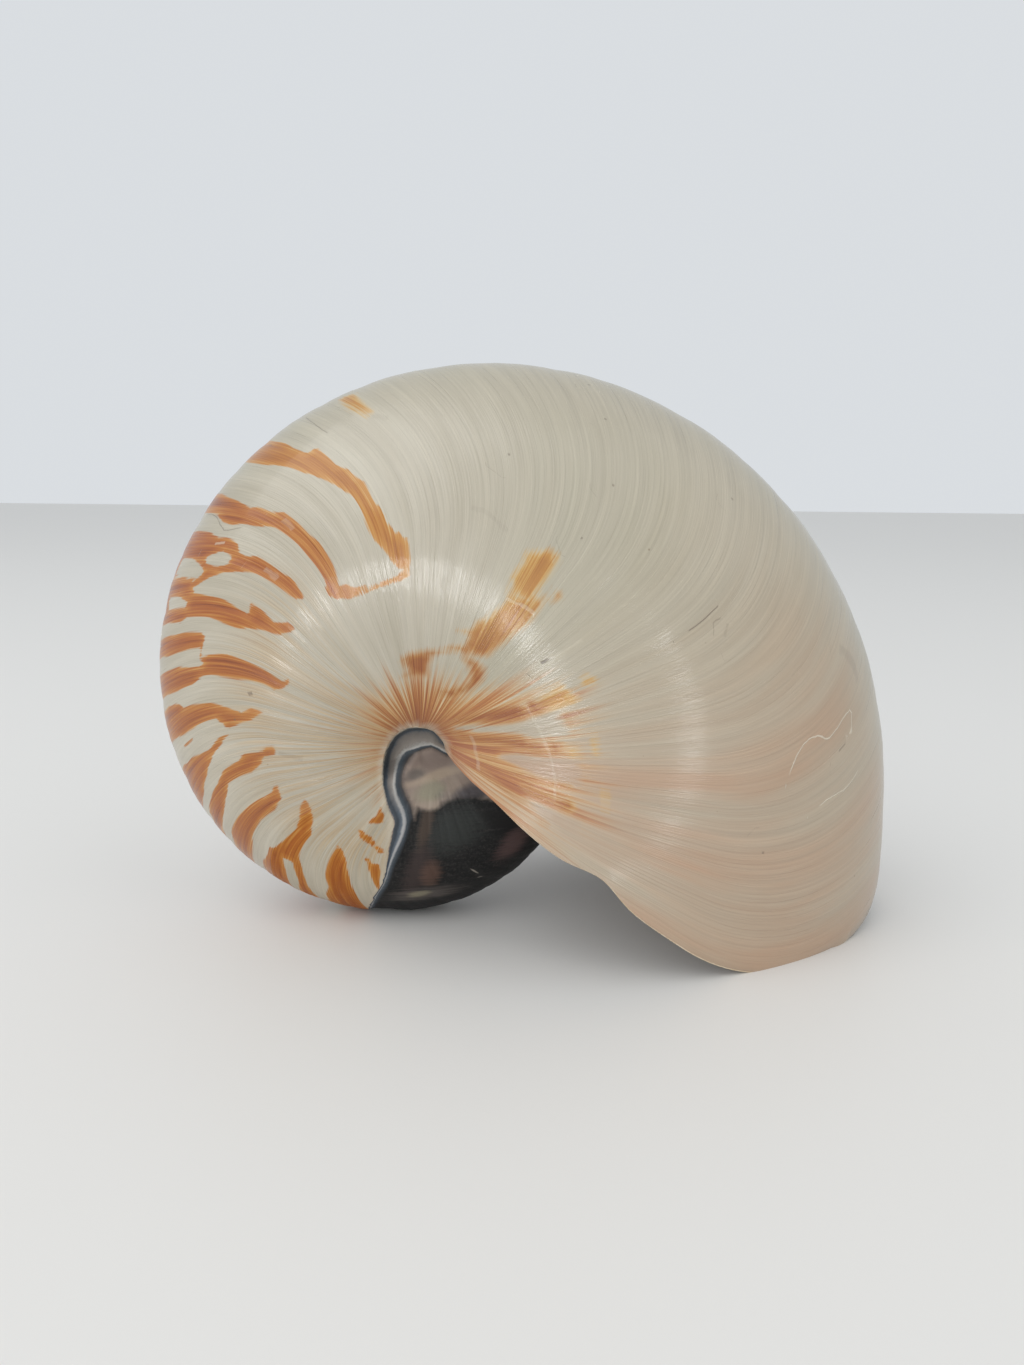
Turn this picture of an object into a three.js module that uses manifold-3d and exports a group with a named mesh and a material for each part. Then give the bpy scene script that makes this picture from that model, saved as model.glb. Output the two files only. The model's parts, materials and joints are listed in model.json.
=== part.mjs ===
// Shell of a chambered nautilus, standing on the keel of its coil and on the two lobes of its lip.
//
// Every growth line of the shell is the same curve, turned about the coil axis and enlarged, so the whole
// shell comes from one section, one growth line and one logarithmic spiral. Lengths are millimetres.
// +X points to the mouth, +Z is up and Y = 0 is the plane of symmetry, seen from the front along +Y.
// Growth angles are in degrees: 0 points along +X, 90 down, 180 along -X and 270 up.

import * as THREE from 'three';
import { mergeGeometries, mergeVertices } from 'three/addons/utils/BufferGeometryUtils.js';
import { ParametricGeometry } from 'three/addons/geometries/ParametricGeometry.js';
import Module from 'manifold-3d';

// The spiral
const KEEL_RADIUS = 110;          // from the coil axis to the keel at KEEL_ANGLE
const KEEL_ANGLE = 370.1;
const WHORL_EXPANSION = 3.136;    // growth of the radius in one full turn

// The section, as fractions of the keel radius
const WIDEST_AT = 0.40;           // distance from the axis at which the whorl is widest
const HALF_WIDTH = 0.355;
const SHOULDER_AT = 0.06;         // where the flank turns into the wall of the umbilicus
const SHOULDER_HALF_WIDTH = 0.275;
const UMBILICUS_RADIUS = 0.036;
const CORNER_HALF_WIDTH = 0.264;   // the shoulder rounds towards this corner
const WALL_TOP_HALF_WIDTH = 0.24;

// The growth line: how far, in degrees, each point of it lags behind its foremost one
const UMBILICAL_LAG = 0.22;
const UMBILICAL_POWER = -1.6;
const BAY_FROM = 0.55;            // the bay at the keel starts this far out
const BAY_LAG = 16;
const BAY_POWER = 1.8;

// Growth
const COIL_START = -130;
const COIL_END = 150;
const LIP = 396;
const SEPTUM = 262;               // the last wall across the shell, the floor of the body chamber
const SEPTUM_DISH = 16;           // degrees by which its middle lies further back
const SEPTUM_THICKNESS = 5;       // in degrees
const CHAMBERS_FROM = 60;         // the sealed chambers behind it are one empty space from here on
const SIPHUNCLE_RADIUS = 1.8;     // of the small round hole in the middle of the septum
const SIPHUNCLE_REACH = 0.62;
const SIPHUNCLE_LENGTH = 10;
const PAST_LIP = 404;
const FLARE_FROM = 368;           // the last growth flares a little at the keel
const FLARE_OVER = 12;
const FLARE = 0.014;
const FLARE_FROM_RADIUS = 0.7;

// Shell wall and callus
const WALL = 1.5;
const CALLUS_RADIUS = 5.6;
const CALLUS_HALF_WIDTH = 12.6;
const CALLUS_CROWN = 0.9;

// The hollow of the umbilicus: outline of its floor beside the coil axis, x and z
const HOLLOW_OUTLINE = [
  [1.6, -0.6], [-1.6, 1.3], [-4.6, 0.6], [-6.6, -2.4], [-7.1, -8.6], [-6.2, -14.2], [-4.2, -15.4],
  [-1.6, -10.4], [1.6, -5.2],
];
const HOLLOW_SLOPE_WIDTH = 2.7;
const HOLLOW_SLOPE_DEPTH = 3.4;
const HOLLOW_FLOOR = 13.0;        // half width of the shell at the hollow's floor, beside the axis
const HOLLOW_LEAN = 0.2;          // the floor rises outwards by this much for each step down
const HOLLOW_REACH = 40;

// Feet
const FOOT_TRIM = 0.3;            // what is worn flat off the keel where the shell stands

// Fineness
const CURVE_DIVISIONS = 4;
const GROWTH_STEP = 7.5;
const CAP_STEPS = 4;
const HOLLOW_POINTS = 26;
const CALLUS_SIDES = 20;
const SIPHUNCLE_SIDES = 16;

const SHELL_COLOUR = 0xd9d2c3;
const SHELL_ROUGHNESS = 0.35;

const GROWTH_RATE = Math.log(WHORL_EXPANSION) / (2 * Math.PI);

const radians = THREE.MathUtils.degToRad;

// Half of the section, from the keel to the foot of the umbilical wall: x is the distance from the axis
// and y the half width, both over the keel radius.
function halfSection() {
  const path = new THREE.Path();
  path.absellipse(WIDEST_AT, 0, 1 - WIDEST_AT, HALF_WIDTH, 0, Math.PI / 2);
  path.quadraticCurveTo((WIDEST_AT + SHOULDER_AT) / 2, HALF_WIDTH, SHOULDER_AT, SHOULDER_HALF_WIDTH);
  path.quadraticCurveTo(UMBILICUS_RADIUS, CORNER_HALF_WIDTH, UMBILICUS_RADIUS, WALL_TOP_HALF_WIDTH);
  path.lineTo(UMBILICUS_RADIUS, 0);
  return path.getPoints(CURVE_DIVISIONS);
}

// Normals of a half section, pointing out of the shell and as long as a corner needs for an even wall.
function outwardNormals(points) {
  const last = points.length - 1;
  const edgeNormal = (i) => {
    const along = points[i + 1].clone().sub(points[i]).normalize();
    return new THREE.Vector2(along.y, -along.x);
  };
  return points.map((point, i) => {
    if (i === 0) return new THREE.Vector2(1, 0);
    if (i === last) return new THREE.Vector2(-1, 0);
    const [before, after] = [edgeNormal(i - 1), edgeNormal(i)];
    return before.clone().add(after).divideScalar(1 + before.dot(after));
  });
}

const SECTION = halfSection();
const NORMALS = outwardNormals(SECTION);

// The section of the chambers: the outer part of the whorl, closed across where it is widest.
const CHAMBER_SECTION = [
  ...SECTION.filter((point) => point.x >= WIDEST_AT - 1e-9),
  new THREE.Vector2(WIDEST_AT, 0),
];
const CHAMBER_NORMALS = outwardNormals(CHAMBER_SECTION);

function keelRadius(angle) {
  return KEEL_RADIUS * Math.exp(GROWTH_RATE * radians(angle - KEEL_ANGLE));
}

function lag(reach) {
  const bay = Math.max(0, (reach - BAY_FROM) / (1 - BAY_FROM));
  return UMBILICAL_LAG * reach ** UMBILICAL_POWER + BAY_LAG * bay ** BAY_POWER;
}

function flare(angle, reach) {
  const late = THREE.MathUtils.smoothstep(angle, FLARE_FROM, FLARE_FROM + FLARE_OVER);
  return 1 + FLARE * late * THREE.MathUtils.smoothstep(reach, FLARE_FROM_RADIUS, 1);
}

// One point of the growth line at an angle, given on the half section with its normal there: inset moves
// the point into the shell, and back turns it back further. Returns x, half width and z beside the axis.
function growthPoint(angle, point, normal, inset = 0, back = 0) {
  const at = angle - lag(point.x) - back;
  const radius = keelRadius(at) * flare(at, point.x);
  const reach = point.x * radius - normal.x * inset;
  const halfWidth = Math.max(0, point.y * radius - normal.y * inset);
  const turned = radians(at);
  return { x: reach * Math.cos(turned), halfWidth, z: -reach * Math.sin(turned) };
}

// The closed tube of growth lines from one angle to another, with a cap across each end.
// Each cap can be dished backwards by an angle.
function tube(from, to, { points = SECTION, normals = NORMALS, inset = 0, dishes = [0, 0] } = {}) {
  const steps = points.length - 1;
  const stacks = Math.ceil((to - from) / GROWTH_STEP);
  const side = new ParametricGeometry((u, v, target) => {
    const step = Math.round(u * 2 * steps);
    const index = Math.min(step, 2 * steps - step);
    const p = growthPoint(THREE.MathUtils.lerp(from, to, v), points[index], normals[index], inset);
    target.set(p.x, step > steps ? p.halfWidth : -p.halfWidth, p.z);
  }, 2 * steps, stacks);
  const cap = (angle, flip, dish) => new ParametricGeometry((u, v, target) => {
    const index = Math.round((flip ? 1 - u : u) * steps);
    const across = 2 * v - 1;
    const back = dish * Math.sin(Math.PI * index / steps) * (1 - across ** 2);
    const p = growthPoint(angle, points[index], normals[index], inset, back);
    target.set(p.x, p.halfWidth * across, p.z);
  }, steps, CAP_STEPS);
  return mergeGeometries([side, cap(from, true, dishes[0]), cap(to, false, dishes[1])]);
}

// The callus that fills the middle of the coil: a round plug with low domed ends.
function callus() {
  const half = [];
  for (let k = 0; k <= CURVE_DIVISIONS; k += 1) {
    const reach = CALLUS_RADIUS * Math.sin(Math.PI / 2 * k / CURVE_DIVISIONS);
    const dome = CALLUS_CROWN * Math.cos(Math.PI / 2 * k / CURVE_DIVISIONS);
    half.push(new THREE.Vector2(reach, CALLUS_HALF_WIDTH - CALLUS_CROWN + dome));
  }
  const mirrored = half.map((point) => new THREE.Vector2(point.x, -point.y));
  return new THREE.LatheGeometry([...mirrored, ...half.reverse()], CALLUS_SIDES);
}

// The small hole through the middle of the septum, along the whorl.
function siphuncle() {
  const back = SEPTUM_DISH + SEPTUM_THICKNESS / 2;
  const turned = radians(SEPTUM - back);
  const reach = SIPHUNCLE_REACH * keelRadius(SEPTUM - back);
  const hole = new THREE.CylinderGeometry(
    SIPHUNCLE_RADIUS, SIPHUNCLE_RADIUS, SIPHUNCLE_LENGTH, SIPHUNCLE_SIDES);
  hole.rotateZ(Math.PI / 2);
  hole.rotateY(turned + Math.PI / 2);
  return hole.translate(reach * Math.cos(turned), 0, -reach * Math.sin(turned));
}

// What is taken out of one flank at the umbilicus: a hollow with sloping sides and a leaning floor.
// side is -1 for the near flank and 1 for the far one.
function hollowCutter(side) {
  const outline = new THREE.CatmullRomCurve3(HOLLOW_OUTLINE.map(([x, z]) => new THREE.Vector3(x, z)), true);
  const corners = outline.getPoints(HOLLOW_POINTS).slice(0, -1);
  const floor = new THREE.Shape(corners.map((p) => new THREE.Vector2(p.x, p.y * -side)));
  const cutter = new THREE.ExtrudeGeometry(floor, {
    depth: HOLLOW_REACH,
    bevelSize: HOLLOW_SLOPE_WIDTH,
    bevelThickness: HOLLOW_SLOPE_DEPTH,
    bevelSegments: 1,
  });
  cutter.translate(0, 0, HOLLOW_FLOOR + HOLLOW_SLOPE_DEPTH);
  cutter.rotateX(-side * Math.PI / 2);
  return cutter.applyMatrix4(new THREE.Matrix4().makeShear(0, 0, 0, 0, 0, -side * HOLLOW_LEAN));
}

const wasm = await Module();
wasm.setup();

// Makes a closed solid of a geometry: shared vertices are merged and faces without area left out.
function solid(geometry) {
  const bare = geometry.clone();
  bare.deleteAttribute('normal');
  bare.deleteAttribute('uv');
  const merged = mergeVertices(bare);
  const kept = [];
  for (let i = 0; i < merged.index.count; i += 3) {
    const [a, b, c] = [0, 1, 2].map((k) => merged.index.getX(i + k));
    if (a !== b && b !== c && c !== a) kept.push(a, b, c);
  }
  return new wasm.Manifold(new wasm.Mesh({
    numProp: 3,
    vertProperties: merged.attributes.position.array,
    triVerts: new Uint32Array(kept),
  }));
}

function toGeometry(manifold) {
  const mesh = manifold.getMesh();
  const geometry = new THREE.BufferGeometry();
  geometry.setAttribute('position', new THREE.BufferAttribute(new Float32Array(mesh.vertProperties), 3));
  geometry.setIndex(new THREE.BufferAttribute(new Uint32Array(mesh.triVerts), 1));
  return geometry;
}

// The block below the level that the shell stands on.
function below(level) {
  const block = new THREE.BoxGeometry(4 * KEEL_RADIUS, 4 * KEEL_RADIUS, 2 * KEEL_RADIUS);
  return block.translate(0, 0, level - KEEL_RADIUS);
}

// The level at which the shell stands, FOOT_TRIM above the lowest point of its coil: the keel of the
// spiral is level where the tangent of the growth angle is -1 / GROWTH_RATE.
function standingLevel() {
  const lowest = Math.PI - Math.atan(1 / GROWTH_RATE);
  return -keelRadius(THREE.MathUtils.radToDeg(lowest)) * Math.sin(lowest) + FOOT_TRIM;
}

// The last whorl hollowed to its septum, the inner coil inside its mouth, the callus in the middle, and
// the empty chambers behind the septum.
function shell() {
  const bodyChamber = solid(tube(SEPTUM, PAST_LIP, { inset: WALL, dishes: [SEPTUM_DISH, 0] }));
  const chambers = solid(tube(CHAMBERS_FROM, SEPTUM - SEPTUM_THICKNESS, {
    points: CHAMBER_SECTION, normals: CHAMBER_NORMALS, inset: WALL, dishes: [0, SEPTUM_DISH],
  }));
  const whorl = solid(tube(COIL_END, LIP)).subtract(bodyChamber);
  const grown = whorl.add(solid(tube(COIL_START, COIL_END))).add(solid(callus()));
  const hollowed = grown.subtract(solid(hollowCutter(-1))).subtract(solid(hollowCutter(1)));
  const emptied = hollowed.subtract(chambers).subtract(solid(siphuncle()));
  return toGeometry(emptied.subtract(solid(below(standingLevel()))));
}

const geometry = shell();
geometry.computeBoundingBox();
const { min, max } = geometry.boundingBox;
const material = new THREE.MeshStandardMaterial({ color: SHELL_COLOUR, roughness: SHELL_ROUGHNESS });
const mesh = new THREE.Mesh(geometry, material);
mesh.name = 'shell';
mesh.position.set(-(min.x + max.x) / 2, 0, -min.z);

const group = new THREE.Group();
group.add(mesh);
export default group;
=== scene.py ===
"""Looks of a chambered nautilus shell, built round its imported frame.

The shell follows one law: a growth line is turned about the coil's axis and enlarged. Lengths in the shape
code are millimetres beside that axis, +X towards the mouth and +Z up, with growth angles in degrees.
"""

import json
import logging
import math
from dataclasses import dataclass, field
from enum import IntEnum

import bmesh
import bpy
import numpy as np
from mathutils import Matrix, Vector

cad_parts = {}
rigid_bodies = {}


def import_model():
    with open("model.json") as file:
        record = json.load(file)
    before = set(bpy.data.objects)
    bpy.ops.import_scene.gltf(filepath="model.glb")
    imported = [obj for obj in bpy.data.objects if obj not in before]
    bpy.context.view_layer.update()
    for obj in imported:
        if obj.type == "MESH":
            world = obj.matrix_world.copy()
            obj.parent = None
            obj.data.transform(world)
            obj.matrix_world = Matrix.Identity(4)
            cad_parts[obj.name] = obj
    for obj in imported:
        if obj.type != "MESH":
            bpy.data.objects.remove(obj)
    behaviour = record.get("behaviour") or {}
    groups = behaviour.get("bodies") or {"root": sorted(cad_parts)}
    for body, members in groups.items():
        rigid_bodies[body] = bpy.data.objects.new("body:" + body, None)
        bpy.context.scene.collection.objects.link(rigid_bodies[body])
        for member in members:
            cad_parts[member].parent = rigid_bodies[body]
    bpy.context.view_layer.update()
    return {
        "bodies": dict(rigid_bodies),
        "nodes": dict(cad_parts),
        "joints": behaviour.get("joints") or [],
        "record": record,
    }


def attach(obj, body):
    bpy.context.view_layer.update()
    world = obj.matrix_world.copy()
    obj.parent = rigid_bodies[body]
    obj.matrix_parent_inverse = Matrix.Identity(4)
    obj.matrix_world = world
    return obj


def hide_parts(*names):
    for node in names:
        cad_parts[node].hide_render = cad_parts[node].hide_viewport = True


log = logging.getLogger("shell")

METRES = 0.001
AXIS_X = -23.807
AXIS_Z = 45.655
TINY = 1e-6
WHORL_RADIUS = 86.0
Points = np.ndarray
Tree = bpy.types.NodeTree
Socket = bpy.types.NodeSocket
Object = bpy.types.Object
Mesh = bpy.types.Mesh
BMesh = bmesh.types.BMesh

# kinds and settings of nodes that come again and again, and where most of a noise's values lie
MATH = "ShaderNodeMath"
MIX = "ShaderNodeMix"
MAP_RANGE = "ShaderNodeMapRange"
NOISE = "ShaderNodeTexNoise"
COLOURS = {"data_type": "RGBA"}
EASED = {"interpolation_type": "SMOOTHSTEP"}
TIMES = {"operation": "MULTIPLY"}
TIMES_PLUS = {"operation": "MULTIPLY_ADD"}
PLUS = {"operation": "ADD"}
NOISE_SPAN = (0.3, 0.7)


def smoothstep(low: float, high: float, value: Points) -> Points:
    """Eases from 0 at low to 1 at high."""
    t = np.clip((np.asarray(value, float) - low) / (high - low), 0.0, 1.0)
    return t * t * (3.0 - 2.0 * t)


def bump(middle: float, width: float, value: Points) -> Points:
    """A bell of height 1 round a middle."""
    return np.exp(-(((np.asarray(value, float) - middle) / width) ** 2))


def linear(code: str) -> tuple[float, float, float, float]:
    """Turns an sRGB hex colour to linear light."""
    parts = [int(code[i:i + 2], 16) / 255.0 for i in (1, 3, 5)]
    return (*[c / 12.92 if c <= 0.04045 else ((c + 0.055) / 1.055) ** 2.4 for c in parts], 1.0)


def object_scale(size: float) -> float:
    """Scale of a pattern on Object coordinates, from the size of its cells in millimetres."""
    return 1.0 / (size * METRES)


def growth_scale(along: float, across: float) -> tuple[float, float, float]:
    """Scale of a pattern that follows growth, from the size of its cells in millimetres near the lip."""
    return (math.radians(WHORL_RADIUS) / along, WHORL_RADIUS / across, 0.0)


class Layer(IntEnum):
    """What a face of the shell is made of, in the order of the material slots."""

    OUTER = 0
    COIL = 1
    HOLLOW = 2
    NACRE = 3
    LIP = 4


@dataclass(frozen=True)
class Spiral:
    """The law of growth: section, growth line and logarithmic spiral."""

    keel_radius: float = 110.0
    keel_angle: float = 370.1
    expansion: float = 3.136
    widest_at: float = 0.40
    half_width: float = 0.355
    shoulder_at: float = 0.06
    shoulder_half_width: float = 0.275
    umbilicus_at: float = 0.036
    corner_half_width: float = 0.264
    wall_top_half_width: float = 0.24
    umbilical_lag: float = 0.22
    umbilical_power: float = -1.6
    bay_from: float = 0.55
    bay_lag: float = 16.0
    bay_power: float = 1.8
    ellipse_across: float = 0.762
    flank_across: float = 1.03
    whorl_grows_from: float = 150.0
    lip: float = 396.0
    section_steps: tuple = (50, 24, 6)
    coil_from: float = -175.0
    whorl_from: float = 105.0

    @property
    def rate(self) -> float:
        """Growth of the logarithm of the radius for each radian."""
        return math.log(self.expansion) / (2.0 * math.pi)

    def radius(self, angle: Points) -> Points:
        """Keel radius at an angle about the axis."""
        return self.keel_radius * np.exp(self.rate * np.radians(np.asarray(angle, float) - self.keel_angle))

    def lag(self, reach: Points) -> Points:
        """How far a point of the growth line lags behind its foremost one."""
        reach = np.clip(reach, self.umbilicus_at, 1.0)
        bay = np.clip((reach - self.bay_from) / (1.0 - self.bay_from), 0.0, None)
        return self.umbilical_lag * reach ** self.umbilical_power + self.bay_lag * bay ** self.bay_power

    def width(self, reach: Points) -> Points:
        """Half width of the section over the keel radius.

        Args:
            reach: Distances from the axis over the keel radius.

        Returns:
            The half widths: a dome at the keel, a flank, and a corner at the umbilicus.
        """
        reach = np.asarray(reach, float)
        dome = self.half_width * np.sqrt(
            np.clip(1.0 - ((reach - self.widest_at) / (1.0 - self.widest_at)) ** 2, 0.0, None))
        t = np.clip((self.widest_at - reach) / (self.widest_at - self.shoulder_at), 0.0, 1.0)
        flank = self.half_width * (1.0 - t * t) + t * t * self.shoulder_half_width
        t = 1.0 - np.sqrt(np.clip(
            (reach - self.umbilicus_at) / (self.shoulder_at - self.umbilicus_at), 0.0, 1.0))
        corner = ((1.0 - t) ** 2 * self.shoulder_half_width + 2.0 * t * (1.0 - t) * self.corner_half_width
                  + t * t * self.wall_top_half_width)
        return np.where(reach >= self.widest_at, dome, np.where(reach >= self.shoulder_at, flank, corner))

    def across(self, reach: Points, width: Points) -> Points:
        """Way along the section from the keel, over the keel radius.

        Args:
            reach: Distances from the axis over the keel radius.
            width: Half widths over the keel radius.

        Returns:
            The way of each place.
        """
        turn = np.arctan2(np.clip((reach - self.widest_at) / (1.0 - self.widest_at), 0.0, None),
                          np.abs(width) / self.half_width)
        dome = self.ellipse_across * (1.0 - turn / (math.pi / 2.0))
        flank = self.ellipse_across + (self.widest_at - reach) * self.flank_across
        return np.where(reach >= self.widest_at, dome, flank)

    def unwrap(self, x: Points, z: Points, whorl: bool) -> Points:
        """Angle about the axis, in the turn that a layer of the shell belongs to."""
        start = self.whorl_from if whorl else self.coil_from
        return (np.degrees(np.arctan2(-z, x)) - start) % 360.0 + start

    def locate(self, x: Points, z: Points, whorl: bool) -> tuple[Points, Points, Points]:
        """Growth angle, reach and keel radius of places beside the axis.

        Args:
            x: Places beside the axis, towards the mouth.
            z: Their heights over the axis.
            whorl: Whether they belong to the last whorl.

        Returns:
            The three lists.
        """
        angle = self.unwrap(x, z, whorl)
        radius = self.radius(angle)
        reach = np.hypot(x, z) / radius
        return angle + self.lag(reach), reach, radius

    def half_section(self) -> list[tuple[float, float]]:
        """Points of half a growth line from the keel inwards, as reach and half width."""
        on_dome, on_flank, on_corner = self.section_steps
        turns = np.linspace(0.0, math.pi / 2.0, on_dome)
        dome = [(self.widest_at + (1.0 - self.widest_at) * math.cos(t), self.half_width * math.sin(t))
                for t in turns]
        reaches = [*np.linspace(self.widest_at, self.shoulder_at, on_flank)[1:],
                   *(self.umbilicus_at + (self.shoulder_at - self.umbilicus_at) * (1.0 - t) ** 2
                     for t in np.linspace(0.0, 1.0, on_corner)[1:])]
        return dome + [(float(p), float(self.width(p))) for p in reaches]


def distance_to_line(points: Points, line: Points) -> Points:
    """Distance of points to an open line.

    Args:
        points: Places, one row each.
        line: Corners of the line, one row each.

    Returns:
        The distance of each place to the nearest stretch of the line.
    """
    best = np.full(len(points), np.inf)
    for a, b in zip(line[:-1], line[1:]):
        along = b - a
        t = np.clip(((points - a) @ along) / max(along @ along, TINY * TINY), 0.0, 1.0)
        best = np.minimum(best, np.hypot(*(points - a - t[:, None] * along).T))
    return best


def is_inside(points: Points, outline: Points) -> Points:
    """Tells which places lie inside a closed outline.

    Args:
        points: Places, one row each.
        outline: Corners of the outline, one row each.

    Returns:
        True for each place inside.
    """
    odd = np.zeros(len(points), bool)
    for a, b in zip(outline, np.roll(outline, -1, axis=0)):
        crosses = (a[1] > points[:, 1]) != (b[1] > points[:, 1])
        rise = b[1] - a[1] or TINY
        odd ^= crosses & (points[:, 0] < a[0] + (points[:, 1] - a[1]) * (b[0] - a[0]) / rise)
    return odd


@dataclass(frozen=True)
class Hollow:
    """The hollow of the umbilicus and the bands that run from it across the keel.

    Its lines are places beside the axis, from the mouth's side over the axis and down to the keel. A pair
    of numbers says where a part of its form starts and where it is full.
    """

    border: tuple = (
        (3.95, 14.0), (3.9, 0.3), (3.6, 1.7), (2.9, 2.5), (1.5, 3.9), (-0.3, 4.3), (-2.5, 4.2), (-4.3, 3.9),
        (-5.8, 3.2), (-7.4, 1.9), (-8.6, 0.1), (-9.4, -1.9), (-9.9, -4.2), (-10.0, -6.7), (-10.0, -9.3),
        (-9.6, -11.9), (-9.0, -14.6), (-8.1, -16.9), (-7.5, -18.6), (-7.9, -20.3), (-8.4, -22.7),
        (-8.9, -25.1), (-9.1, -27.3), (-9.5, -29.9), (-9.9, -32.2), (-11.0, -35.5), (-12.4, -38.2),
        (-13.9, -42.1), (-14.6, -45.0))
    ridge: tuple = (
        (15.0, -7.4), (10.0, -5.6), (6.5, -4.2), (3.5, -3.1), (2.2, -2.1), (0.4, -1.4), (-1.8, -1.7),
        (-3.7, -2.4), (-5.1, -2.8), (-6.2, -4.0), (-6.9, -5.5), (-7.4, -7.7), (-7.5, -9.9), (-7.1, -12.1),
        (-6.4, -14.1), (-5.5, -16.1), (-5.0, -18.1), (-5.2, -20.0), (-6.0, -22.4), (-7.0, -24.5),
        (-8.0, -26.7), (-8.9, -28.9), (-9.3, -30.6), (-9.8, -32.4), (-10.6, -34.7), (-11.9, -37.0),
        (-13.0, -39.8), (-14.1, -43.0), (-14.8, -46.0))
    inner: tuple = (
        (15.0, -8.8), (10.0, -7.0), (7.0, -5.5), (4.0, -4.0), (0.8, -2.0), (-1.2, -2.6), (-3.0, -3.4),
        (-4.2, -4.6), (-5.1, -6.0), (-5.8, -7.9), (-5.8, -10.1), (-4.9, -12.6), (-3.8, -14.9),
        (-3.2, -17.9), (-3.7, -20.3), (-4.4, -22.7), (-5.2, -25.0), (-6.2, -27.6), (-7.2, -29.8),
        (-7.9, -31.9), (-8.4, -33.8), (-9.2, -36.0), (-10.2, -38.0), (-12.0, -42.0), (-13.0, -46.0))
    film_edge: tuple = (
        (-3.2, -17.9), (-2.7, -15.0), (-1.5, -15.7), (0.4, -15.6), (2.2, -14.9), (3.8, -14.0), (5.4, -13.5),
        (6.6, -13.0), (8.5, -13.1), (10.7, -13.4), (13.8, -13.9), (24.0, -13.0), (40.0, -4.0))
    film_ends: tuple = (-18.0, -4.0)
    floor_level: float = 13.2
    floor_lean: float = 0.2
    floor_dish: float = 0.03
    floor_blend: float = 0.15
    sink: float = 0.35
    sink_ends: tuple = (1.0, 9.0)
    sink_from: tuple = (-14.0, -8.0)
    mouth_rise: tuple = (0.7, 9.0, 13.0)
    keel_rise: tuple = (1.0, -14.0, -18.0)
    plug_closes: tuple = (120.0, 165.0)
    plug_depth: float = 3.0
    steep: tuple = (0.72, 0.0, 0.38)
    gentle: tuple = (0.28, 0.30, 0.95)
    slope_ends: tuple = (3.0, 5.5)
    ledge_height: float = 0.55
    ledge_ends: tuple = (3.0, 8.0)
    ledge_edge: tuple = (0.15, 1.6)
    ridge_height: float = 0.35
    ridge_width: float = 0.6
    middle_height: float = 19.0
    middle_reach: tuple = (0.6, 2.6)
    axis_reach: float = 7.0
    skin_from: tuple = (-6.0, -10.0)
    tail_from: tuple = (-10.0, -15.0)
    tail_steps: tuple = ((-0.45, 0.0, 0.25), (-0.08, 1.2, 1.8), (0.53, 2.0, 4.5))
    tail_crest: tuple = (0.36, 1.0, 0.19)
    beyond_step: float = 4.0
    clear: float = 0.1
    clear_rise: float = 0.8
    tail_clear: float = 0.15
    least: float = 0.5
    rim_share: float = 0.75
    rim_width: tuple = (1.5, 0.5)
    far_out: float = 70.0

    def gap(self, line: tuple, places: Points) -> Points:
        """Distance to a line that runs down across the hollow, negative on its floor side.

        Args:
            line: The line's corners.
            places: Places beside the axis, one row each.

        Returns:
            The distances in millimetres.
        """
        corners = np.array(line, float)
        closed = np.array([*line, (line[-1][0], -self.far_out), (self.far_out, -self.far_out),
                           (self.far_out, line[0][1])], float)
        away = distance_to_line(places, corners)
        return np.where(is_inside(places, closed), -away, away)

    def levels(self, places: Points) -> tuple[Points, Points, Points]:
        """Distances to the border, the ridge and the inner edge of the second band."""
        return tuple(self.gap(line, places) for line in (self.border, self.ridge, self.inner))

    def band(self, places: Points) -> Points:
        """Place across the bands: 0 at the border, 1 at the ridge, 2 at the inner edge and more beyond.

        Args:
            places: Places beside the axis, one row each.

        Returns:
            The place of each across the bands.
        """
        border, ridge, inner = self.levels(places)
        first = -border / np.maximum(-border + np.maximum(ridge, 0.0), TINY)
        second = 1.0 + -ridge / np.maximum(-ridge + np.maximum(inner, 0.0), TINY)
        within = np.where(ridge > 0.0, first, np.where(inner > 0.0, second, 2.0 - inner / self.beyond_step))
        return np.where(border > 0.0, -border / self.beyond_step, within)

    def rim(self, places: Points) -> Points:
        """Weight of the pale rim that the outer layer has along the border."""
        away = distance_to_line(places, np.array(self.border[1:], float))
        return self.rim_share * smoothstep(*self.rim_width, away)

    def film(self, places: Points) -> Points:
        """Distance to the upper edge of the black film, negative below it.

        Args:
            places: Places beside the axis, one row each.

        Returns:
            The distances in millimetres.
        """
        edge = np.array(self.film_edge, float)
        far, (left, right) = self.far_out, self.film_ends
        below = np.array([(-far, left), *self.film_edge, (far, right), (far, -far), (-far, -far)])
        return distance_to_line(places, edge) * np.where(is_inside(places, below), -1.0, 1.0)

    def coil_flank(self, spiral: Spiral, x: Points, z: Points) -> Points:
        """Half width of the inner coil."""
        growth, reach, radius = spiral.locate(x, z, whorl=False)
        grown = (reach < 1.0) & (growth <= spiral.whorl_grows_from)
        return np.where(grown, spiral.width(reach) * radius, 0.0)

    def outer_flank(self, spiral: Spiral, x: Points, z: Points) -> Points:
        """Half width of the shell before it is hollowed.

        Args:
            spiral: The law of growth.
            x: Places beside the axis, towards the mouth.
            z: Their heights over the axis.

        Returns:
            The half widths in millimetres.
        """
        growth, reach, radius = spiral.locate(x, z, whorl=True)
        away = np.hypot(x, z)
        grown = (reach < 1.0) & (growth >= spiral.whorl_grows_from) & (
            (growth <= spiral.lip) | (away < self.axis_reach))
        flank = np.where(grown, spiral.width(reach) * radius, 0.0)
        flank = np.maximum(flank, self.coil_flank(spiral, x, z))
        return flank + (self.middle_height - flank) * (1.0 - smoothstep(*self.middle_reach, away))

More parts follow.
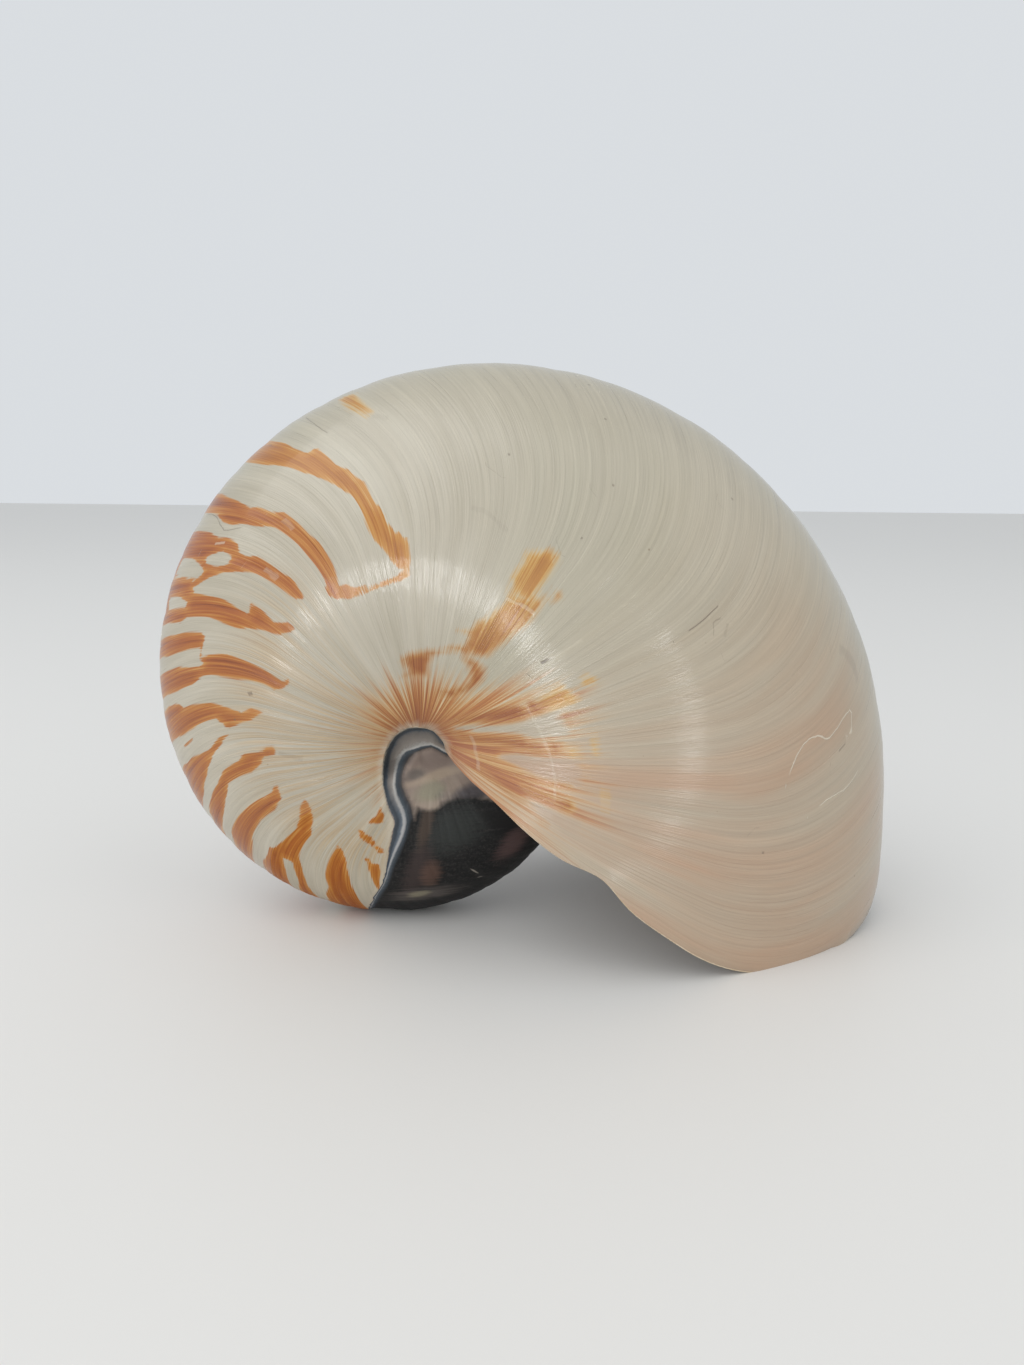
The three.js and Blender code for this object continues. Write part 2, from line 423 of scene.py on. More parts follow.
    def tail(self, z: Points) -> Points:
        """Weight of the shallow profile of the bands, which takes over from the hollow below it."""
        return smoothstep(*self.tail_from, z)

    def tail_profile(self, band: Points) -> Points:
        """Relief of the bands in millimetres: a gutter, a crest, a second gutter and the film."""
        height, middle, width = self.tail_crest
        crest = height * bump(middle, width, band)
        return crest + sum(rise * smoothstep(low, high, band) for rise, low, high in self.tail_steps)

    def level(self, spiral: Spiral, x: Points, z: Points) -> Points:
        """Half width at the hollow's floor: that of the older coil, or of the callus where it is wider.

        Args:
            spiral: The law of growth.
            x: Places beside the axis, towards the mouth.
            z: Their heights over the axis.

        Returns:
            The half widths in millimetres.
        """
        angle = spiral.unwrap(x, z, whorl=False)
        from_axis = np.hypot(x, z)
        radius = spiral.radius(angle)
        coil = spiral.width(np.clip(from_axis / radius, 0.0, 0.999)) * radius
        plug = self.floor_level + self.floor_lean * np.clip(-z, 0.0, None)
        plug = plug - self.floor_dish * from_axis ** 2
        closed = smoothstep(*self.plug_closes, angle)
        sink = self.sink * (1.0 - smoothstep(*self.sink_ends, x)) * smoothstep(*self.sink_from, z)
        for (rise, low, high), way in ((self.mouth_rise, x), (self.keel_rise, z)):
            sink = sink - rise * smoothstep(low, high, way)
        low = (coil - sink) * (1.0 - closed) + (plug - self.plug_depth) * closed
        return 0.5 * (low + plug + np.sqrt((low - plug) ** 2 + self.floor_blend))

    def height(self, spiral: Spiral, x: Points, z: Points) -> Points:
        """Half width in the hollow: steep from the border, then a ledge, a ridge and a floor.

        Args:
            spiral: The law of growth.
            x: Places beside the axis, towards the mouth.
            z: Their heights over the axis.

        Returns:
            The half widths in millimetres, and more than the shell's outside the border.
        """
        places = np.stack([x, z], axis=1)
        border, ridge, _ = self.levels(places)
        outer = self.outer_flank(spiral, x, z)
        level = self.level(spiral, x, z)
        down = np.clip(-border / np.maximum(-border + np.maximum(ridge, 0.0), TINY), 0.0, 1.0)
        fall = sum(share * smoothstep(low, high, down) for share, low, high in (self.steep, self.gentle))
        fall += (1.0 - fall) * smoothstep(*self.slope_ends, x)
        ledge = self.ledge_height * (1.0 - smoothstep(*self.ledge_ends, x))
        slope = outer + (level + ledge - outer) * fall
        floor = level + ledge * (1.0 - smoothstep(*self.ledge_edge, -ridge))
        inside = np.where(ridge > 0.0, slope, floor)
        inside = inside + self.ridge_height * bump(0.0, self.ridge_width, ridge)
        outside = outer + self.clear + self.clear_rise * np.clip(border, 0.0, None)
        _, reach, radius = spiral.locate(x, z, whorl=False)
        skin = spiral.width(np.minimum(reach, 1.0)) * radius + self.tail_profile(self.band(places))
        inside += (skin - inside) * smoothstep(*self.skin_from, z)
        inside += (outer + self.tail_clear - inside) * self.tail(z)
        return np.where(border > 0.0, outside, np.maximum(inside, self.least))


@dataclass(frozen=True)
class Markings:
    """Stripes, blotches and small marks of the outer layer, drawn on growth angle and place across.

    Stripes run from the keel. Bare patches lie in them, and wedges keep the fan of streaks off. A fissure
    is a line, its half width in millimetres and its shade, from -1 for black to 1 for white.
    """

    stripes: tuple = (
        ((257.6, -.02), (257.6, .14), (257.9, .2), (257.3, .25), (257.6, .307), (259.7, .302),
         (259.5, .34), (259.1, .4), (260.2, .41), (260.3, .447), (261.1, .461), (260.9, .524), (262, .551),
         (261.9, .576), (262.9, .606), (264.1, .605), (264.5, .619), (266.1, .621), (266.3, .668),
         (265.6, .691), (263, .682), (261.1, .665), (259.3, .633), (257.3, .602), (256.9, .571),
         (257.6, .507), (257.1, .477), (256, .444), (255.2, .404), (254, .363), (253.5, .31), (252.2, .224),
         (252, .13), (252, -.02)),
        ((244.6, -.02), (244.6, .14), (243.4, .264), (242.5, .326), (243.4, .342), (243.7, .402),
         (244.9, .419), (244.9, .45), (244.7, .518), (245.2, .546), (244.8, .614), (243.8, .659),
         (246.8, .66), (247.1, .676), (251.6, .685), (254.6, .691), (258.1, .695), (265.8, .693),
         (265.7, .704), (261.9, .706), (254.1, .703), (250.3, .7), (246.4, .696), (242.4, .681),
         (239.7, .662), (239.4, .645), (241, .626), (241.1, .591), (240.9, .551), (241.3, .513),
         (241.1, .477), (240.9, .435), (239.5, .39), (239, .344), (238, .306), (238.5, .26), (240, .217),
         (240.4, .12), (240.4, -.02)),
        ((236.4, -.02), (236.4, .141), (236, .233), (234.9, .295), (235.2, .332), (234.8, .371),
         (232.8, .396), (232.4, .425), (233.6, .45), (233.4, .537), (234.2, .567), (233, .619),
         (231.3, .61), (230.4, .599), (230.2, .563), (229.8, .489), (229.2, .452), (228.1, .412),
         (226.1, .35), (223.6, .297), (225.5, .276), (227, .134), (227, -.02)),
        ((226.8, -.02), (226.7, .183), (225.5, .276), (222.6, .305), (221.8, .374), (221.4, .428),
         (220.6, .469), (219.4, .522), (223, .51), (222.6, .544), (221.4, .596), (224.1, .623),
         (224.6, .647), (222.8, .642), (219.2, .619), (218.2, .584), (216.9, .55), (215.3, .507),
         (215.8, .463), (216.8, .403), (217.1, .303), (216.2, .289), (217, .185), (217, -.02)),
        ((214.2, -.02), (214.2, .177), (213.6, .303), (213.1, .392), (212, .409), (208.2, .407),
         (206.8, .415), (206.5, .405), (209.5, .395), (209.3, .265), (210.1, .176), (210.1, -.02)),
        ((206.7, -.02), (206.7, .179), (206.1, .294), (204.7, .415), (207.4, .417), (208.4, .496),
         (207.6, .56), (207.3, .615), (206.4, .673), (208.6, .684), (207.4, .691), (204.1, .674),
         (202, .656), (202.6, .624), (201.7, .538), (202, .49), (202.5, .445), (202.3, .41), (200.8, .38),
         (200.7, .292), (201.4, .196), (201.4, -.02)),
        ((198.8, -.02), (199, .214), (197.8, .303), (196.4, .322), (195.3, .446), (193.6, .511),
         (192, .564), (194, .587), (193.1, .629), (189.3, .584), (187.3, .509), (188.2, .498),
         (190.7, .468), (190.7, .439), (190.3, .357), (190.5, .296), (191.6, .206), (192, -.02)),
        ((188.6, .267), (188.3, .346), (187.7, .335), (187.6, .29)),
        ((186, .51), (185.3, .462), (183.2, .409), (184.5, .294), (184.4, .26), (185.4, .195),
         (185.4, -.02), (176, -.02), (175, .135), (176, .266), (178.1, .352), (180.4, .4), (183.2, .462),
         (185.5, .505)),
        ((180.3, .609), (180.7, .648), (178.9, .647), (177.1, .635), (176.7, .603), (173.9, .585),
         (172.3, .545), (172.5, .493), (172.4, .437), (170.2, .4), (168.2, .331), (166.2, .156),
         (166, -.02), (170.6, -.02), (170.9, .163), (172.7, .202), (173.2, .289), (174.5, .39),
         (176.4, .44), (177, .51), (178.9, .545), (178.6, .605)),
        ((165.1, .604), (161, .598), (159.3, .584), (157.5, .546), (157.8, .466), (157.4, .391),
         (156.4, .324), (156.3, .198), (156.3, -.02), (162.5, -.02), (162.9, .231), (164, .261),
         (164, .381), (163.7, .473), (163, .548), (163.5, .578), (164.7, .585)),
        ((156, .66), (151.3, .653), (146.6, .63), (141.9, .575), (141.7, .515), (141.3, .456), (139.5, .41),
         (138.3, .34), (136.9, .202), (136.5, -.02), (152, -.02), (152.6, .165), (152.5, .27),
         (151.1, .349), (151.1, .395), (149.4, .412), (148.3, .465), (147.3, .553), (149.8, .593),
         (154, .628)),
        ((131.5, .596), (128.2, .581), (124.9, .541), (123.1, .472), (121.7, .349), (122.1, .233),
         (122.5, -.02), (131, -.02), (131.1, .151), (133.9, .165), (132.5, .285), (130.6, .36),
         (131.5, .434), (131.3, .507), (131, .575)),
        ((129.9, .693), (125, .659), (118.6, .643), (114, .615), (111.8, .623), (112.3, .635),
         (116.4, .649), (120.8, .676), (129.8, .698)),
        ((119.5, .584), (117.4, .559), (115, .489), (113.5, .409), (113.2, .409), (111.3, .525),
         (112.3, .565), (115.6, .564), (116.8, .583)),
        ((127.4, .813), (125.2, .763), (127.5, .736), (126.5, .727), (119.4, .743), (121.3, .774)),
    )
    blotches: tuple = (
        ((270.8, .102), (273.3, .121), (272.2, .22), (272, .267), (270, .285), (269.7, .217)),
        ((295.7, .647), (299.4, .633), (303.4, .634), (303.7, .682), (303.2, .728), (297.7, .737),
         (296, .736), (296.5, .715), (294.8, .708), (295.5, .683), (296.2, .669)),
        ((297.3, .737), (300.9, .73), (303.7, .721), (306.5, .717), (307.1, .756), (306.8, .777),
         (305.5, .803), (304.2, .837), (302.7, .865), (302.1, .885), (297.4, .894), (292.6, .891),
         (284.9, .897), (277.6, .901), (275, .911), (273.6, .931), (273.6, .962), (265.3, .959),
         (255.1, .942), (259.8, .94), (259.7, .928), (256.1, .904), (258, .892), (264.1, .888),
         (278.4, .893), (283.1, .881), (289, .875), (291.2, .859), (288.2, .84), (284.8, .84),
         (290.3, .832), (291.3, .809), (294.1, .794), (294.5, .777), (296.3, .758)),
        ((290.8, .893), (295.6, .901), (301.9, .91), (305.1, .921), (307.6, .944), (307.2, .968),
         (304.7, .993), (298.2, 1.022), (288.7, 1.023), (284.8, 1.006), (293.3, .993), (299.1, .98),
         (300.6, .962), (298.8, .94), (296.2, .923), (292.5, .914)),
        ((313.7, 1.102), (318.9, 1.064), (321.9, 1.027), (324.7, .986), (327.7, .949), (330.3, .93),
         (334, .932), (338.7, .933), (339, .969), (336.7, 1.005), (332, 1.038), (324.8, 1.075)),
        ((330.7, .927), (329.1, .904), (332.6, .899), (330.8, .886), (331.3, .859), (329.2, .845),
         (331.2, .835), (334.6, .832), (337.4, .822), (338.4, .839), (338.1, .856), (338.5, .884),
         (338.6, .926)),
        ((332, .797), (331.2, .782), (332.9, .771), (334.7, .772), (334.5, .79), (333.4, .799)),
        ((330.9, 1.097), (341.4, 1.056), (345.1, 1.01), (347.3, .972), (350.5, .96), (352.1, .926),
         (357.5, .933), (355.7, .978), (353.4, 1.02), (351.5, 1.066), (345.2, 1.101)),
        ((349.5, .914), (351.8, .912), (352.1, .894), (357.5, .9), (357.6, .927), (352.2, .922)),
        ((363.8, 1.07), (367.9, .998), (369.4, .96), (369.4, .929), (371, .928), (371.3, .953),
         (370.8, .991), (368.5, 1.068)),
        ((369.3, .92), (368.9, .895), (370, .897), (370.5, .918)),
        ((372.9, .984), (374.9, .961), (375.9, .929), (378.1, .927), (378.8, .948), (378.5, .972),
         (376.5, .992)),
        ((376.1, .922), (373.5, .895), (376.1, .888), (379.8, .894), (380, .92)),
        ((375.7, 1.07), (381.7, 1.03), (384.4, .989), (386.5, .955), (387.6, .966), (386.4, 1.004),
         (383.6, 1.045), (380.7, 1.074)),
        ((387, .948), (387.8, .931), (388.9, .94), (388.1, .953)),
        ((350.5, .826), (354, .83), (357, .832), (357, .842), (352.5, .838), (350.5, .834)),
        ((368, .828), (371.5, .825), (375, .827), (375, .834), (371, .837), (368, .834)),
        ((355, .872), (358, .872), (358, .888), (355, .888)),
        ((307.8, .694), (309.5, .696), (309.3, .712), (307.7, .71)),
    )
    bare: tuple = (
        ((230.9, .135), (230.3, .221), (228.8, .287), (227.2, .31), (225.6, .309), (227, .178),
         (227.6, .12)),
        ((222.8, .13), (222.2, .224), (220.5, .285), (219.3, .294), (220, .151)),
        ((146.1, .393), (142.7, .41), (140.8, .31), (142.4, .153), (144.5, .16), (144.8, .325)),
        ((232.2, .341), (231.4, .382), (229.4, .388), (228.4, .352), (229, .305), (230.8, .29)),
    )
    wedges: tuple = (
        ((338.8, .88), (339, .969), (336.7, 1.005), (332, 1.038), (324.8, 1.085), (330.9, 1.09),
         (341.4, 1.05), (345.1, 1.0), (347.3, .965), (349.5, .955), (349.5, .88)),
        ((358.6, .88), (358.5, .95), (357, .99), (358, 1.02), (362, 1.03), (367, .985), (368.4, .95),
         (368.4, .88)),
        ((381, .88), (380.5, .95), (379.5, .98), (382, .97), (385, .94), (386, .88)),
    )
    fissures: tuple = (
        (((331, .926), (338, .93), (353, .93), (366, .926), (377, .925)), 0.3, 0.14),
        (((342, 1.068), (360, 1.072), (380, 1.073)), 0.35, 0.18),
        (((296.5, .742), (300, .744), (307, .748)), 0.28, 0.25),
        (((364.9, .504), (363.6, .494), (362.7, .485), (361.8, .469), (361.6, .445), (362.7, .42),
         (363.9, .402), (363.8, .375), (363.5, .347), (364, .318), (365.2, .311), (366.1, .325),
         (366.5, .344)), 0.13, 0.7),
        (((372.1, .439), (371.8, .424), (372.1, .398), (372.7, .368), (372.6, .339),
         (372.2, .318)), 0.13, 0.65),
        (((366.8, .379), (366.7, .345)), 0.22, -0.35),
        (((333.8, .591), (334.1, .515)), 0.12, -0.5),
        (((338.8, .541), (337.4, .521)), 0.3, -0.15),
        (((319.6, .833), (320.4, .818)), 0.32, -0.7),
        (((320.6, .818), (322, .74)), 0.3, 0.16),
        (((240.1, .132), (240.1, .179), (239.4, .222), (238, .255), (237.1, .283), (236.4, .303),
         (237.1, .317), (237.5, .334), (238.1, .347)), 0.12, -0.4),
        (((264.4, .121), (263.8, .198), (263.4, .25), (263.3, .278)), 0.1, -0.35),
        (((281, .574), (285, .585), (290, .617)), 0.45, -0.07),
        (((356.5, .289), (360.7, .252), (363, .261)), 1.0, -0.13),
        (((243.6, .435), (242.9, .475)), 0.6, 0.16),
        (((231.9, .49), (231.4, .535)), 0.7, 0.2),
        (((233.5, .295), (234.1, .33)), 0.3, 0.4),
        (((198, .58), (198.6, .592)), 0.4, -0.45),
        (((178, .652), (175, .719)), 0.6, -0.12),
        (((271, .285), (273, .31)), 0.8, -0.08),
    )
    dots: tuple = ((289.5, .452), (308.2, .294), (308.3, .456), (305.5, .583), (329.8, .309), (376.6, .556),
                   (308.4, .161))
    dot_length: float = 0.2
    dot_width: float = 0.22
    dot_shade: float = -0.4
    widest_gap: float = 6.0
    mark_reach: float = 4.5
    no_mark: float = 12.0
    near_degrees: float = 8.0
    near_across: float = 0.1
    far_from: tuple = (0.1, 0.35)
    far_waves: tuple = ((2.6, 7.3, 0.9), (1.2, 17.0, 0.0))
    far_stretch: tuple = (0.1, 0.11)

    def on_flank(self, growth: Points, across: Points, far: Points) -> tuple[Points, Points]:
        """Where the outlines are read: as drawn on the near flank, and a little uneven on the far one.

        Args:
            growth: Growth angles of the places.
            across: Their places across the section.
            far: Whether they lie on the far flank.

        Returns:
            The growth angles and the places across to look up.
        """
        aside = smoothstep(*self.far_from, across) * far
        waves = sum(height * np.sin(rate * across + phase) for height, rate, phase in self.far_waves)
        stretch, rate = self.far_stretch
        return growth + aside * waves, across * (1.0 + stretch * aside * np.sin(growth * rate))

    def fissure(self, growth: Points, across: Points, reach: Points, radius: Points) -> Points:
        """Where the nearest small mark lies.

        Args:
            growth: Growth angles of the places.
            across: Their places across the section, negative on the far flank.
            reach: Their distance from the axis over the keel radius.
            radius: Their keel radius in millimetres.

        Returns:
            One row for each place: signed distance from the mark's line over its half width, way along it
            from -1 to 1, and its shade.
        """
        dots = ((((g - self.dot_length, s), (g + self.dot_length, s)), self.dot_width, self.dot_shade)
                for g, s in self.dots)
        marks = [*self.fissures, *dots]
        scale = np.stack([np.radians(1.0) * reach * radius, radius], axis=1)
        place = np.stack([growth, across], axis=1)
        found = np.tile([self.no_mark, self.no_mark, 0.0], (len(growth), 1))
        nearest = np.full(len(growth), self.mark_reach)
        for line, half_width, shade in marks:
            corners = np.array(line, float)
            steps = [np.maximum(np.hypot(*((b - a) * scale).T), TINY) for a, b in zip(corners, corners[1:])]
            total, start = sum(steps), 0.0
            for a, b, length in zip(corners, corners[1:], steps):
                offset, along = (place - a) * scale, (b - a) * scale
                t = (offset * along).sum(axis=1) / length
                side = (offset[:, 0] * along[:, 1] - offset[:, 1] * along[:, 0]) / length
                away = np.hypot(side, t - np.clip(t, 0.0, length))
                row = np.stack([side / half_width, 2.0 * (start + t) / total - 1.0,
                                np.full(len(growth), shade)], axis=1)
                closer = away < nearest
                nearest[closer] = away[closer]
                found[closer] = np.clip(row, -self.no_mark, self.no_mark)[closer]
                start = start + length
        return found

    def gap_to(self, outline: tuple, growth: Points, across: Points, per_degree: Points,
               per_across: Points) -> Points:
        """Distance to one outline, negative inside.

        Args:
            outline: Corners, as growth angle and place across.
            growth: Growth angles of the places.
            across: Their places across the section.
            per_degree: Millimetres for each degree at each place.
            per_across: Millimetres for each unit across at each place.

        Returns:
            The distances in millimetres, at most widest_gap.
        """
        gap = np.full(len(growth), self.widest_gap)
        corners = np.array(outline, float)
        low, high = corners.min(axis=0), corners.max(axis=0)
        near = np.flatnonzero(
            (growth > low[0] - self.near_degrees) & (growth < high[0] + self.near_degrees)
            & (across > low[1] - self.near_across) & (across < high[1] + self.near_across))
        scale = np.stack([per_degree[near], per_across[near]], axis=1)
        place = np.stack([growth[near], across[near]], axis=1)
        best = np.full(len(near), self.widest_gap)
        for a, b in zip(corners, np.roll(corners, -1, axis=0)):
            start, along = (a - place) * scale, (b - a) * scale
            length = np.maximum((along ** 2).sum(axis=1), TINY)
            t = np.clip(-(start * along).sum(axis=1) / length, 0.0, 1.0)
            best = np.minimum(best, np.hypot(*(start + t[:, None] * along).T))
        gap[near] = np.where(is_inside(place, corners), -best, best)
        return gap

    def gap(self, outlines: tuple, growth: Points, across: Points, reach: Points, radius: Points) -> Points:
        """Distance to the nearest of several outlines, negative inside."""
        per_degree = np.radians(1.0) * reach * radius
        gaps = [self.gap_to(o, growth, across, per_degree, radius) for o in outlines]
        return np.min(gaps, axis=0)


@dataclass(frozen=True)
class Tints:
    """Where the outer layer is tinted: a pair says where a tint starts and where it is full.

    Growth angles are in degrees, places across are over the keel radius, and distances in millimetres.
    """

    fan_near: tuple = (6.0, 4.0)
    fan_gone: tuple = (24.0, 22.0)
    fan_widens: tuple = (300.0, 340.0)
    fan_least: float = 0.55
    fan_full: tuple = (185.0, 235.0)
    fan_edge: tuple = (-1.2, 1.0)
    fan_fades: tuple = (377.0, 389.0)
    fan_faded: float = 0.5
    # where the pink lies, which is partly a painted warm reflection of the ground below
    pink_from: tuple = (300.0, 365.0)
    pink_across: tuple = (0.1, 0.45)
    pink_least: float = 0.55
    pink_full: tuple = (340.0, 372.0)
    lip_from: tuple = (368.0, 392.0)
    lip_shift: float = 0.3
    keel_green: float = 0.9
    keel_width: float = 0.3
    keel_from: tuple = (200.0, 270.0)
    flank_green: float = 0.8
    flank_from: tuple = (265.0, 315.0)
    flank_across: tuple = (0.1, 0.35)
    ochre_from: tuple = (236.0, 256.0)
    old_ochre: float = 0.1
    old_ochre_from: tuple = (214.0, 190.0)
    streaks: float = 0.9
    streaks_away: tuple = (34.0, 14.0)
    streaks_from: tuple = (130.0, 165.0)
    streaks_end: tuple = (245.0, 215.0)
    belt: float = 0.5
    belt_at: tuple = (0.62, 0.12)
    belt_end: tuple = (250.0, 215.0)
    pale_end: tuple = (316.0, 300.0)
    pale_across: tuple = (0.95, 0.75)
    late_pale_from: tuple = (300.0, 320.0)
    late_pale_across: tuple = (0.91, 0.88)

    def fan(self, growth: Points, away: Points, wedge: Points) -> Points:
        """Strength of the fan of streaks round the umbilicus, with the wedges left bare.

        Args:
            growth: Growth angles of the places.
            away: Their distances from the axis.
            wedge: Their distances to the wedges.

        Returns:
            The strength at each place.
        """
        late = smoothstep(*self.fan_widens, growth)
        near, gone = (start + more * late for start, more in (self.fan_near, self.fan_gone))
        full = self.fan_least + (1.0 - self.fan_least) * smoothstep(*self.fan_full, growth)
        faded = 1.0 - self.fan_faded * smoothstep(*self.fan_fades, growth)
        return (1.0 - smoothstep(near, gone, away)) * full * smoothstep(*self.fan_edge, wedge) * faded

    def pink_and_warm_reflection(self, growth: Points, across: Points) -> Points:
        """Strength of the pink of the youngest part, which reaches the keel at the lip: partly the shell's
        own colour and partly a painted warm reflection of the ground below.

        Args:
            growth: Growth angles of the places.
            across: Their places across the section.

        Returns:
            The strength at each place.
        """
        lip = self.lip_shift * smoothstep(*self.lip_from, growth)
        low, high = (place - lip for place in self.pink_across)
        full = self.pink_least + (1.0 - self.pink_least) * smoothstep(*self.pink_full, growth)
        return smoothstep(*self.pink_from, growth) * smoothstep(low, high, across) * full

    def green(self, growth: Points, across: Points) -> Points:
        """Strength of the grey green on the keel and on the flank of the last half whorl."""
        keel = self.keel_green * bump(0.0, self.keel_width, across) * smoothstep(*self.keel_from, growth)
        flank = smoothstep(*self.flank_from, growth) * smoothstep(*self.flank_across, across)
        return np.maximum(keel, self.flank_green * flank)

    def ochre(self, growth: Points) -> Points:
        """How far the youngest stripes turn from rust to ochre."""
        return np.maximum(smoothstep(*self.ochre_from, growth),
                          self.old_ochre * smoothstep(*self.old_ochre_from, growth))

    def tan(self, growth: Points, across: Points, away: Points) -> Points:
        """Strength of the tan streaks between the stripes: round the umbilicus and in a belt.

        Args:
            growth: Growth angles of the places.
            across: Their places across the section.
            away: Their distances from the axis.

        Returns:
            The strength at each place.
        """
        middle, width = self.belt_at
        around = (smoothstep(*self.streaks_end, growth) * smoothstep(*self.streaks_away, away)
                  * smoothstep(*self.streaks_from, growth))
        belt = bump(middle, width, across) * smoothstep(*self.belt_end, growth)
        return self.streaks * around + self.belt * belt

    def pale(self, growth: Points, across: Points) -> Points:
        """How pale a blotch is: those away from the umbilicus are tan instead of rust."""
        early = smoothstep(*self.pale_end, growth) * smoothstep(*self.pale_across, across)
        late = smoothstep(*self.late_pale_from, growth) * smoothstep(*self.late_pale_across, across)
        return np.maximum(early, late)


def ranges(*ends: float) -> dict[int, float]:
    """Ends of the two ranges of a node that maps one to the other, in the order of its inputs."""
    return dict(enumerate(ends, 1))


def add(tree: Tree, kind: str, settings: dict | None = None, links: dict | None = None,
        out: int | str = 0) -> Socket:
    """Adds a node with its settings and links.

    Args:
        tree: The node tree.
        kind: Type of the node.
        settings: Values of the node's own options and of its unlinked inputs.
        links: Sockets that feed its inputs.
        out: Which of its outputs is wanted.

    Returns:
        That output.
    """
    node = tree.nodes.new(kind)
    for name, value in (settings or {}).items():
        if isinstance(name, str) and hasattr(node, name):
            setattr(node, name, value)
        else:
            node.inputs[name].default_value = value
    for name, source in (links or {}).items():
        tree.links.new(source, node.inputs[name])
    return node.outputs[out] if node.outputs else None


def ramp(tree: Tree, value: Socket, stops: tuple) -> Socket:
    """Colours a value by stops of place and hex colour.

    Args:
        tree: The node tree.
        value: What is coloured.
        stops: Places from 0 to 1, each with its colour.

    Returns:
        The colour.
    """
    made = add(tree, "ShaderNodeValToRGB", links={0: value})
    elements = made.node.color_ramp.elements
    for place, code in stops[2:]:
        elements.new(place)
    for element, (place, code) in zip(elements, stops):
        element.position = place
        element.color = linear(code)
    return made


@dataclass(frozen=True)
class Surface:
    """What a layer gives to its shader."""

    colour: Socket
    roughness: Socket
    height: Socket


@dataclass(frozen=True)
class Finish:
    """How a layer takes the light: gloss, its roughness, plain shine, and fine relief in metres."""

    coat: float
    coat_roughness: float
    specular: float
    relief: float
    coat_relief: float = 0.00002
    ior: float = 1.53


class ShellMaterial:
    """A layer's material: its surface under its finish."""

    name: str
    finish: Finish

    def surface(self, tree: Tree) -> Surface:
        """Builds the layer's colour, roughness and relief.

        Args:
            tree: The node tree.

        Returns:
            The three sockets.
        """
        raise NotImplementedError

    def build(self) -> bpy.types.Material:
        """Makes the material."""
        material = bpy.data.materials.new(self.name)
        material.use_nodes = True
        tree = material.node_tree
        shader = tree.nodes["Principled BSDF"]
        surface = self.surface(tree)
        # the gloss lies over the relief and follows it less deeply, so that a window still shines as one
        normal, gloss = (
            add(tree, "ShaderNodeBump", {"Strength": 1.0, "Distance": depth}, {"Height": surface.height})
            for depth in (self.finish.relief, self.finish.coat_relief))
        for name, source in (("Base Color", surface.colour), ("Roughness", surface.roughness),
                             ("Normal", normal), ("Coat Normal", gloss)):
            tree.links.new(source, shader.inputs[name])
        for name, value in (
                ("IOR", self.finish.ior), ("Specular IOR Level", self.finish.specular),
                ("Coat Weight", self.finish.coat), ("Coat Roughness", self.finish.coat_roughness)):
            shader.inputs[name].default_value = value
        log.info("material %s: %d nodes", self.name, len(tree.nodes))
        return material


@dataclass(frozen=True)
class Grain:
    """Noises drawn out along the lines of growth, from hair-fine to broad, and two blends of them."""

    fine: Socket
    lines: Socket
    bands: Socket
    strokes: Socket
    tufts: Socket


